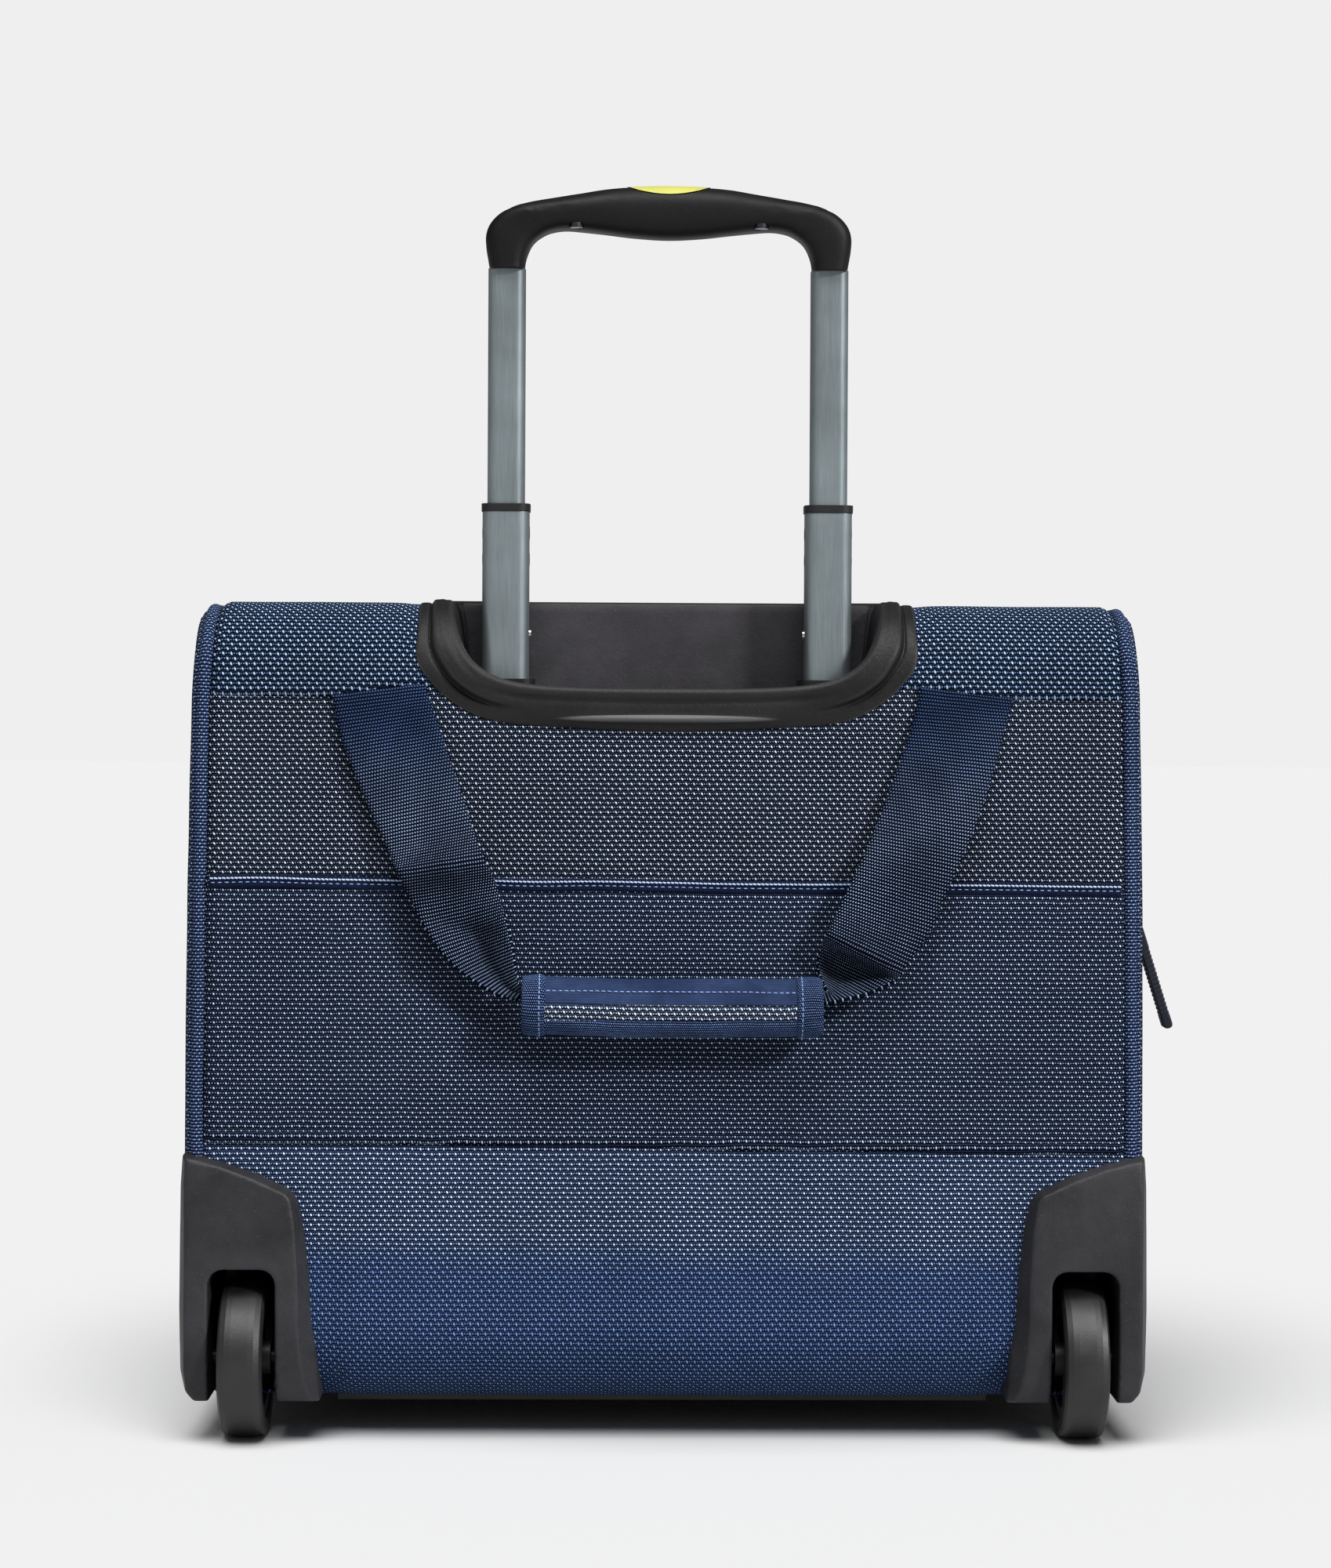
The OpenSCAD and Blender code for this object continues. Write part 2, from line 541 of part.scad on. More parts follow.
// ---- zips of the laptop compartment and the lid ----
laptop_zip_z = 237.7;
lid_zip_z = 75;
slider_x = hx + 1.2;
puller_lean = 17.5;
module laptop_zip_slider() color([0.2, 0.2, 0.22])
  translate([slider_x, laptop_zip_y, laptop_zip_z]) slider(10, 13);
module laptop_zip_puller() color(web_navy)
  translate([slider_x + 3.6, laptop_zip_y, laptop_zip_z]) rotate([0, -puller_lean, 0]) puller(56, 9, 4.4);
module lid_zip_slider() color([0.2, 0.2, 0.22]) mirror([1, 0, 0])
  translate([slider_x, shell_front + 0.25, lid_zip_z]) slider(10, 13);
module lid_zip_puller() color(web_navy) mirror([1, 0, 0])
  translate([slider_x + 3.6, shell_front + 0.25, lid_zip_z]) rotate([0, -puller_lean, 0]) puller(56, 9, 4.4);

base_chassis();
front_feet();
lower_back_panel();
middle_back_panel();
upper_back_panel();
top_yoke();
side_panel_left();
side_panel_right();
rear_piping();
back_board();
inner_back_wall();
laptop_sleeve();
case_zip_tapes();
lid_hinge_strip();
handle_tray();
outer_tube_left();
outer_tube_right();
outer_bushes();
tube_foot_bracket();
wheel_housing_left();
wheel_housing_right();
wheel_axles();
housing_screws();
lower_tube_left();
lower_tube_right();
lower_guides();
middle_tube_left();
middle_tube_right();
middle_guides();
stop_pins();
inner_tube_left();
inner_tube_right();
lock_blocks();
grip_lower_shell();
grip_upper_shell();
grip_screws();
release_button();
release_yoke();
push_rods();
button_spring();
hub_left();
tyre_left();
hub_right();
tyre_right();
rear_handle_webbing();
rear_handle_wrap();
lid_shell();
lid_front_yoke();
lid_piping();
zip_tape_lid();
pocket_panel();
pocket_zip();
pocket_slider();
pocket_puller();
laptop_zip_slider();
laptop_zip_puller();
lid_zip_slider();
lid_zip_puller();
front_handle_webbing();
front_handle_pad();
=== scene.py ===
import math

import bpy
import numpy as np
from mathutils import Matrix, Vector
from mathutils.geometry import delaunay_2d_cdt


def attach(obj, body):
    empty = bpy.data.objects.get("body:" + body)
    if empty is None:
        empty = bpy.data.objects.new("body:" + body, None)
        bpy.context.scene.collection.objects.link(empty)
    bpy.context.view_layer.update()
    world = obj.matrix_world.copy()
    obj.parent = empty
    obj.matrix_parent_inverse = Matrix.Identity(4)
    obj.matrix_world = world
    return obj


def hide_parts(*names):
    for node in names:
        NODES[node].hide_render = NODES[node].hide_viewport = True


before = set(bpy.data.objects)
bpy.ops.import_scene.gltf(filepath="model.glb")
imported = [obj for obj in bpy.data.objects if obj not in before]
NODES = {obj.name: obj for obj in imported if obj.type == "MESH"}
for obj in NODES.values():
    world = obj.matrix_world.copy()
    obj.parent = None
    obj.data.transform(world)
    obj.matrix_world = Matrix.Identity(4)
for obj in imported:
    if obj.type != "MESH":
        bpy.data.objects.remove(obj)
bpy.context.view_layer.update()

MM = 0.001
PI = math.pi


# ======================================================================
# shader maths
# ======================================================================
class X:
    """One shader socket, with arithmetic."""

    tree = None

    def __init__(self, socket):
        self.s = socket

    def __add__(a, b): return op("ADD", a, b)
    def __radd__(a, b): return op("ADD", b, a)
    def __sub__(a, b): return op("SUBTRACT", a, b)
    def __rsub__(a, b): return op("SUBTRACT", b, a)
    def __mul__(a, b): return op("MULTIPLY", a, b)
    def __rmul__(a, b): return op("MULTIPLY", b, a)
    def __truediv__(a, b): return op("DIVIDE", a, b)


def node(kind, **settings):
    n = X.tree.nodes.new(kind)
    for k, v in settings.items():
        setattr(n, k, v)
    return n


def put(n, key, value):
    if isinstance(value, X):
        X.tree.links.new(value.s, n.inputs[key])
    else:
        n.inputs[key].default_value = value


def op(kind, *args):
    n = node("ShaderNodeMath", operation=kind)
    for i, a in enumerate(args):
        put(n, i, a)
    return X(n.outputs[0])


def floor_(a): return op("FLOOR", a)
def fract(a): return op("FRACT", a)
def abs_(a): return op("ABSOLUTE", a)
def sq(a): return op("MULTIPLY", a, a)
def cos_(a): return op("COSINE", a)
def clamp01(a): return op("MAXIMUM", op("MINIMUM", a, 1.0), 0.0)


def step_(a, e0, e1, lo=0.0, hi=1.0):
    """Smooth step of a from lo at e0 to hi at e1."""
    n = node("ShaderNodeMapRange", interpolation_type="SMOOTHSTEP")
    put(n, 0, a)
    for i, v in ((1, e0), (2, e1), (3, lo), (4, hi)):
        put(n, i, v)
    return X(n.outputs[0])


def line_(a, e0, e1, lo=0.0, hi=1.0):
    n = node("ShaderNodeMapRange")
    put(n, 0, a)
    for i, v in ((1, e0), (2, e1), (3, lo), (4, hi)):
        put(n, i, v)
    return X(n.outputs[0])


def mix(f, a, b):
    n = node("ShaderNodeMix", data_type="RGBA")
    put(n, 0, f)
    for i, v in ((6, a), (7, b)):
        put(n, i, v if isinstance(v, X) else (*v, 1.0))
    return X(n.outputs[2])


def scaled(c, f):
    """A colour times a factor."""
    n = node("ShaderNodeMix", data_type="RGBA", blend_type="MULTIPLY")
    put(n, 0, 1.0)
    put(n, 6, c if isinstance(c, X) else (*c, 1.0))
    j = node("ShaderNodeCombineXYZ")
    for i in range(3):
        put(j, i, f)
    put(n, 7, X(j.outputs[0]))
    return X(n.outputs[2])


def place():
    return X(node("ShaderNodeTexCoord").outputs["Object"])


def weave_uv():
    """The two cloth coordinates that a mesh carries, in mm."""
    n = node("ShaderNodeAttribute", attribute_type="GEOMETRY", attribute_name="wv")
    s = node("ShaderNodeSeparateXYZ")
    X.tree.links.new(n.outputs["Vector"], s.inputs[0])
    return X(s.outputs[0]), X(s.outputs[1])


def noise(vec, scale, detail=2.0, rough=0.5):
    n = node("ShaderNodeTexNoise")
    put(n, "Vector", vec)
    put(n, "Scale", scale)
    put(n, "Detail", detail)
    put(n, "Roughness", rough)
    return X(n.outputs[0])


def voronoi(vec, scale, feature="F1"):
    n = node("ShaderNodeTexVoronoi", feature=feature)
    put(n, "Vector", vec)
    put(n, "Scale", scale)
    return X(n.outputs[0])


def stretched(vec, sx, sy, sz):
    n = node("ShaderNodeVectorMath", operation="MULTIPLY")
    put(n, 0, vec)
    n.inputs[1].default_value = (sx, sy, sz)
    return X(n.outputs[0])


def cell_random(a, b):
    j = node("ShaderNodeCombineXYZ")
    put(j, 0, a)
    put(j, 1, b)
    n = node("ShaderNodeTexWhiteNoise", noise_dimensions="2D")
    put(n, "Vector", X(j.outputs[0]))
    return X(n.outputs[0])


def bump(height, distance, strength=1.0, normal=None):
    n = node("ShaderNodeBump")
    put(n, "Height", height)
    put(n, "Distance", distance)
    put(n, "Strength", strength)
    if normal is not None:
        put(n, "Normal", normal)
    return X(n.outputs[0])


def rounded(radius):
    n = node("ShaderNodeBevel", samples=4)
    put(n, "Radius", radius)
    return X(n.outputs[0])


def srgb(r, g, b):
    def f(c):
        c /= 255.0
        return c / 12.92 if c <= 0.04045 else ((c + 0.055) / 1.055) ** 2.4
    return (f(r), f(g), f(b))


def material(name, build, **fixed):
    """A Principled material. build() returns the linked inputs, fixed are constants on its sockets."""
    m = bpy.data.materials.new(name)
    m.use_nodes = True
    t = m.node_tree
    t.nodes.clear()
    X.tree = t
    out = t.nodes.new("ShaderNodeOutputMaterial")
    p = t.nodes.new("ShaderNodeBsdfPrincipled")
    t.links.new(p.outputs[0], out.inputs[0])
    for k, v in fixed.items():
        p.inputs[k.replace("_", " ")].default_value = v
    for k, v in build().items():
        put(p, k, v)
    m.diffuse_color = (0.1, 0.15, 0.3, 1)
    return m


# ---- cloth ----
def ballistic(base, small_0, big_c, gain=1.0, rows=2.12, cols=3.5, tilt=0.25, sizes=(0.52, 0.68), mid=0.0, low=None, small_size=0.36, mid_size=0.2):
    """Ballistic nylon: rows of light floats, every third one large, on a navy ground. low is the floats' colour where
    the cloth turns under. It is painted shade: below z 98 mm the floats turn darker and bluer and the ground bluer, and
    the floats there also run longer.
    """
    def build():
        u, v = weave_uv()
        p = place()
        low_shade_and_floats = None
        small_c = small_0
        # the low mask: painted shade towards the bottom rear curve, and longer floats there
        if low:
            zz = node("ShaderNodeSeparateXYZ")
            put(zz, 0, p)
            low_shade_and_floats = step_(X(zz.outputs[2]) * 1000.0 + (noise(p, 30.0, 2.0) - 0.5) * 16.0, 98.0, 74.0)
        wob = noise(p, 90.0, 2.0)
        u = u + (wob - 0.5) * 1.1
        v = v + (noise(stretched(p, 1.0, 1.0, 1.7), 70.0, 2.0) - 0.5) * 0.9
        r = v * (1 / rows)
        row = floor_(r)
        dv = (r - row - 0.5) * rows
        ub = u * (1 / cols) + fract(row * 0.5)
        cell = floor_(ub)
        t = ub - cell - 0.5
        du = t * cols
        e = sq((du + dv * tilt) * (1 / sizes[0])) + sq(dv * (1 / sizes[1])) * ((1.0 - low_shade_and_floats * 0.5) if low else 1.0)
        rnd = cell_random(cell, row)
        big = step_(e, 1.35, 0.45)
        ds = (abs_(t) - 1 / 3) * cols
        e2 = sq(ds * (1 / small_size)) + sq((dv - 0.1) * (1 / small_size))
        rnd2 = cell_random(floor_(ub * 3.0), row + 37.0)
        small = step_(e2, 1.5, 0.4) * line_(rnd2, 0, 1, 0.6, 1.0)
        if low:
            small = small * (1.0 - low_shade_and_floats * 0.25)
        # fine ground threads
        fine = cos_(u * (2 * PI / 0.583)) * cos_(v * (2 * PI / 0.53))
        ground = mix(line_(fine, -1, 1, 0, 1), tuple(c * 0.6 for c in base), tuple(c * 1.7 + 0.001 for c in base))
        if mid:
            dv2 = fract(r + 0.5) * rows - rows * 0.5
            t3 = fract(ub * 3.0 + 0.5) - 0.5
            e3 = sq((t3 * (cols / 3)) * (1 / mid_size)) + sq(dv2 * (1 / mid_size))
            ground = mix(step_(e3, 1.4, 0.5) * mid, ground, small_c)
        # painted shade: low on the cloth the ground turns bluer and the small floats darker and bluer
        if low:
            ground = mix(low_shade_and_floats * 0.35, ground, srgb(16, 28, 58))
            small_c = mix(low_shade_and_floats * 0.6, small_c, tuple(c * 0.8 for c in low))
        col = mix(small * 0.92, ground, small_c)
        col = mix(big * line_(rnd, 0, 1, 0.72, 1.0), col, mix(low_shade_and_floats, big_c, low) if low else big_c)
        cloudy = noise(p, 14.0, 3.0, 0.6)
        col = scaled(col, line_(cloudy, 0.25, 0.75, 0.88 * gain, 1.1 * gain))
        h = big * 1.0 + small * 0.55 + fine * 0.12
        return {
            "Base Color": col,
            "Roughness": op("MAXIMUM", 0.72 - big * 0.3 - small * 0.14, 0.3),
            "Normal": bump(h, 0.00032, 0.85),
        }
    return build


def webbing(base, light, rows=1.35, cols=1.14, size=(0.29, 0.36), tilt=0.2, upper=None):
    """Narrow woven webbing: rows across the strap, floats that run along it. upper is the floats' colour at the top of
    the straps. This is painted sheen: the floats are pale lower down and a darker blue, and wider, near the top,
    standing in for how the light catches them.
    """
    def build():
        u, v = weave_uv()
        p = place()
        u = u + (noise(p, 60.0, 2.0) - 0.5) * 0.5
        v = v + (noise(p, 110.0, 2.0) - 0.5) * 0.5
        r = v * (1 / rows)
        row = floor_(r)
        dv = (r - row - 0.5) * rows
        ub = u * (1 / cols) + fract(row * 0.5)
        cell = floor_(ub)
        du = (ub - cell - 0.5) * cols
        rnd = cell_random(cell, row)
        dot = step_(sq((du + dv * tilt) * (1 / size[0])) + sq(dv * (1 / size[1])), 1.35, 0.4) * line_(rnd, 0, 1, 0.6, 1.0)
        # painted sheen: floats pale lower on the straps, darker blue and wider near the top
        if upper:
            zz = node("ShaderNodeSeparateXYZ")
            put(zz, 0, p)
            top_floats_and_sheen = step_(X(zz.outputs[2]) * 1000.0 + (noise(p, 24.0, 2.0) - 0.5) * 30.0, 250.0, 335.0)
            wide_dot = step_(sq(du * (1 / 0.42)) + sq(dv * (1 / 0.5)), 1.3, 0.5)
            dot = dot + (wide_dot - dot) * top_floats_and_sheen
        rib = line_(cos_(dv * (2 * PI / rows)), -1, 1, 0, 1)
        ground = mix(rib, tuple(c * 0.5 for c in base), tuple(c * 2.2 + 0.002 for c in base))
        cloud = noise(p, 34.0, 3.0, 0.6)
        col = mix(dot * line_(cloud, 0.3, 0.7, 0.55, 1.0), ground, mix(top_floats_and_sheen, light, upper) if upper else light)
        col = scaled(col, line_(cloud, 0.25, 0.75, 0.8, 1.12))
        return {
            "Base Color": col,
            "Roughness": 0.62 - dot * 0.2,
            "Normal": bump(dot * 0.9 + rib * 0.5, 0.00028, 0.9),
        }
    return build


def tape(base, light, pitch=0.9):
    """Plain woven tape or binding with fine ribs."""
    def build():
        u, v = weave_uv()
        p = place()
        v = v + (noise(p, 130.0, 2.0) - 0.5) * 0.35
        rib = line_(cos_(v * (2 * PI / pitch)), -1, 1, 0, 1)
        cross = line_(cos_(u * (2 * PI / (pitch * 0.8)) + floor_(v * (1 / pitch)) * PI), -1, 1, 0, 1)
        cloud = noise(p, 35.0, 3.0, 0.6)
        col = mix(rib * cross * line_(cloud, 0.3, 0.7, 0.35, 1.0), base, light)
        col = scaled(col, line_(noise(p, 200.0, 2.0), 0.3, 0.7, 0.85, 1.12))
        return {
            "Base Color": col,
            "Roughness": 0.75 - rib * 0.15,
            "Normal": bump(rib * 0.7 + cross * 0.3, 0.0002, 0.8),
        }
    return build


def thread(base, light):
    """Twisted sewing thread."""
    def build():
        p = place()
        n = noise(p, 2600.0, 2.0)
        col = mix(line_(n, 0.35, 0.65, 0, 1), base, light)
        return {"Base Color": col, "Roughness": line_(n, 0.3, 0.7, 0.55, 0.4),
                "Normal": bump(n, 0.0001, 0.7)}
    return build


def lining(base):
    """Thin ripstop lining."""
    def build():
        p = place()
        s = node("ShaderNodeSeparateXYZ")
        put(s, 0, p)
        x, y, z = (X(o) for o in s.outputs)
        a = (x + y) * 1000.0
        b = (z + y * 0.5) * 1000.0
        grid = op("MAXIMUM", step_(abs_(fract(a * 0.2) - 0.5), 0.44, 0.5), step_(abs_(fract(b * 0.2) - 0.5), 0.44, 0.5))
        fine = cos_(a * (2 * PI / 0.5)) * cos_(b * (2 * PI / 0.5))
        wr = noise(p, 30.0, 4.0, 0.6)
        col = mix(grid * 0.6, base, tuple(c * 1.5 for c in base))
        col = scaled(col, line_(wr, 0.25, 0.75, 0.82, 1.15))
        return {"Base Color": col, "Roughness": line_(wr, 0.3, 0.7, 0.75, 0.58),
                "Normal": bump(grid * 0.3 + fine * 0.1 + wr * 3.0, 0.0006, 0.8)}
    return build


# ---- hard materials ----
def grained(base, light, grain=0.00006, scale=1500.0, rough=(0.5, 0.66), bevel=0.0, wear_and_highlight=0.0, lens=None):
    """Moulded plastic with a fine spark-eroded grain. Its convex edges are lighter, partly from rubbing and partly as a
    painted highlight.
    """
    def build():
        p = place()
        a = noise(p, scale, 3.0, 0.6)
        b = noise(p, scale * 0.33, 2.0, 0.5)
        cloud = noise(p, 26.0, 4.0, 0.62)
        # painted glints: light flecks stand in for the sparkle of the grain
        glint_fleck = step_(noise(p, scale * 1.3, 1.0), 0.68, 0.78)
        col = mix(line_(cloud, 0.25, 0.75, 0.0, 1.0), base, light)
        col = mix(glint_fleck * 0.35, col, tuple(min(c * 3.2 + 0.02, 1) for c in light))
        # painted highlight: a light lens-shaped patch on the tray's lower lip, where its ridge catches the top light
        if lens:
            q = node("ShaderNodeSeparateXYZ")
            put(q, 0, p)
            lx, lz = X(q.outputs[0]) * 1000.0, X(q.outputs[2]) * 1000.0
            e = sq(lx * (1 / 52.0)) + sq((lz - 327.3) * (1 / 1.9))
            lens_highlight = step_(e, 1.0, 0.6) * line_(lz, 325.6, 328.6, 0.25, 1.0) * step_(X(q.outputs[1]) * 1000.0, -96.0, -98.0)
            col = mix(lens_highlight * 0.85, col, lens)
        # convex edges lightened: part wear, part painted highlight where edges catch the light
        if wear_and_highlight:
            g = node("ShaderNodeNewGeometry")
            edge = step_(X(g.outputs["Pointiness"]), 0.515, 0.6)
            col = mix(edge * wear_and_highlight, col, tuple(min(c * 2.6 + 0.03, 1) for c in light))
        rg = line_(cloud, 0.25, 0.75, rough[0], rough[1])
        n0 = rounded(bevel) if bevel else None
        return {"Base Color": col, "Roughness": rg + (a - 0.5) * 0.12,
                "Normal": bump(a * 0.6 + b * 0.6, grain, 1.0, n0)}
    return build


def anodised(base, light):
    """Anodised aluminium with a faint drawn grain along the tube."""
    def build():
        p = place()
        lines = noise(stretched(p, 1.0, 1.0, 0.012), 5200.0, 3.0, 0.65)
        blot = noise(p, 32.0, 4.0, 0.6)
        scr = step_(noise(stretched(p, 1.0, 1.0, 0.03), 1500.0, 2.0), 0.71, 0.76)
        col = mix(line_(lines, 0.3, 0.7, 0, 1), base, light)
        col = scaled(col, line_(blot, 0.25, 0.75, 0.93, 1.05))
        return {"Base Color": col, "Roughness": line_(blot, 0.3, 0.7, 0.36, 0.44) + scr * 0.1,
                "Normal": bump(lines, 0.000012, 0.6, rounded(0.0007))}
    return build


def bright(base, rough=(0.18, 0.34), bevel=0.0003):
    def build():
        p = place()
        a = noise(p, 900.0, 4.0, 0.6)
        b = noise(p, 60.0, 3.0, 0.5)
        return {"Base Color": scaled(base, line_(b, 0.2, 0.8, 0.85, 1.05)),
                "Roughness": line_(a, 0.25, 0.75, rough[0], rough[1]),
                "Normal": bump(a, 0.00001, 0.6, rounded(bevel))}
    return build


def rubber(base, light):
    def build():
        p = place()
        a = noise(p, 2300.0, 3.0, 0.65)
        cloud = noise(p, 45.0, 4.0, 0.6)
        speck = step_(noise(p, 2600.0, 1.0), 0.7, 0.77)
        col = mix(line_(cloud, 0.25, 0.75, 0, 1), base, light)
        col = mix(speck * 0.45, col, tuple(min(c * 4 + 0.03, 1) for c in light))
        return {"Base Color": col, "Roughness": line_(cloud, 0.2, 0.8, 0.36, 0.54),
                "Normal": bump(a, 0.00009, 1.0, rounded(0.0004))}
    return build


def button_finish(base):
    def build():
        p = place()
        a = noise(p, 1900.0, 2.0)
        b = noise(p, 70.0, 3.0)
        return {"Base Color": scaled(base, line_(b, 0.3, 0.7, 0.95, 1.04)),
                "Roughness": line_(a, 0.3, 0.7, 0.42, 0.55), "Normal": bump(a, 0.00003, 0.8)}
    return build


NAVY = srgb(2, 8, 24)
DOT = srgb(208, 224, 250)
DOT_S = srgb(150, 172, 210)
SMALLER = dict(sizes=(0.38, 0.5), small_size=0.27, mid=0.22)
# the panels' copies of the cloth differ partly in weave and partly as painted light: the upper panel's copy
# (weave_bright) has paler, brighter floats for the light that falls on that panel
MAT = {
    "weave": material("fabric_weave", ballistic(NAVY, DOT_S, DOT, 0.88, **SMALLER), Specular_IOR_Level=0.03),
    "weave_bright": material("fabric_weave_upper", ballistic(srgb(1, 6, 20), srgb(158, 180, 218), srgb(238, 245, 255), 0.8, mid=0.24, tilt=0.4, sizes=(0.41, 0.58), small_size=0.28), Specular_IOR_Level=0.03),
    "weave_wrap": material("fabric_weave_wrap", ballistic(srgb(3, 9, 26), srgb(172, 194, 228), srgb(240, 247, 255), 1.04, mid=0.35, tilt=0.4, sizes=(0.45, 0.64), small_size=0.34), Specular_IOR_Level=0.03),
    "weave_yoke": material("fabric_weave_yoke", ballistic(srgb(1, 6, 20), srgb(104, 134, 182), srgb(186, 212, 242), 0.86, mid=0.22, mid_size=0.2, tilt=0.3, sizes=(0.48, 0.68), small_size=0.33), Specular_IOR_Level=0.03),
    "weave_low": material("fabric_weave_lower", ballistic(srgb(3, 11, 32), srgb(134, 160, 206), srgb(214, 230, 250), low=srgb(112, 146, 202), sizes=(0.44, 0.54), small_size=0.33, mid=0.35, mid_size=0.22), Specular_IOR_Level=0.03),
    "piping": material("fabric_piping", ballistic(srgb(8, 18, 42), srgb(112, 138, 186), srgb(164, 188, 224), 1.0, rows=1.5, cols=2.3, sizes=(0.33, 0.38), small_size=0.24), Specular_IOR_Level=0.05),
    "web": material("strap_webbing", webbing(srgb(1, 6, 19), srgb(170, 192, 228), 1.55, 1.27, (0.27, 0.34), upper=srgb(62, 84, 128)), Specular_IOR_Level=0.03),
    "web_fine": material("binding_webbing", webbing(srgb(8, 15, 36), srgb(120, 150, 204), 1.15, 0.95), Specular_IOR_Level=0.03),
    "binding": material("binding_tape", tape(srgb(8, 14, 31), srgb(38, 54, 92)), Specular_IOR_Level=0.05),
    "flap": material("wrap_cloth", tape(srgb(22, 34, 62), srgb(82, 102, 144), 0.82), Specular_IOR_Level=0.05),
    "thread_pale": material("sewing_thread_pale", thread(srgb(120, 146, 190), srgb(214, 226, 242)), Specular_IOR_Level=0.3),
    "thread": material("sewing_thread", thread(srgb(84, 112, 162), srgb(150, 174, 212)), Specular_IOR_Level=0.3),
    "thread_dark": material("sewing_thread_navy", thread(srgb(28, 44, 84), srgb(62, 88, 138)), Specular_IOR_Level=0.2),
    "zip": material("zip_tape", tape(srgb(8, 12, 22), srgb(30, 40, 64), 0.7), Specular_IOR_Level=0.15),
    "coil": material("zip_coil", grained(srgb(12, 15, 24), srgb(24, 30, 44), 0.00003, 3000.0, (0.35, 0.5)), Specular_IOR_Level=0.5),
    "lining": material("lining_cloth", lining(srgb(62, 64, 68)), Specular_IOR_Level=0.25),
    "plastic": material("plastic_grained", grained(srgb(20, 20, 21), srgb(28, 28, 29), 0.00007, 1500.0, (0.42, 0.56)), Specular_IOR_Level=0.25),
    "plastic_soft": material("plastic_housing", grained(srgb(18, 18, 20), srgb(46, 46, 50), 0.00026, 1150.0, (0.42, 0.58), wear_and_highlight=0.35), Specular_IOR_Level=0.3),
    "plastic_cad": material("plastic_moulded", grained(srgb(15, 15, 16), srgb(24, 24, 25), 0.00004, 1700.0, (0.4, 0.52), bevel=0.0004), Specular_IOR_Level=0.4),
    "board": material("board_pressed", grained(srgb(18, 18, 19), srgb(28, 28, 28), 0.0001, 700.0, (0.7, 0.85), bevel=0.0004)),
    "hub": material("hub_moulded", grained(srgb(28, 28, 30), srgb(42, 42, 45), 0.00004, 1800.0, (0.42, 0.55), bevel=0.0004)),
    "tube": material("tube_anodised", anodised(srgb(126, 136, 139), srgb(150, 160, 164)), Metallic=0.8, Specular_IOR_Level=0.5),
    "steel": material("steel_bright", bright(srgb(205, 206, 208)), Metallic=1.0),
    "axle": material("steel_axle_dark", bright(srgb(34, 34, 36), (0.35, 0.5)), Metallic=0.5, Specular_IOR_Level=0.3),
    "zipmetal": material("zip_metal", bright(srgb(70, 72, 78), (0.25, 0.42)), Metallic=0.9),
    "tyre": material("tyre_rubber", rubber(srgb(13, 13, 14), srgb(27, 27, 29)), Specular_IOR_Level=0.5),
    "button": material("button_yellow", button_finish(srgb(186, 185, 92)), Specular_IOR_Level=0.3),
}


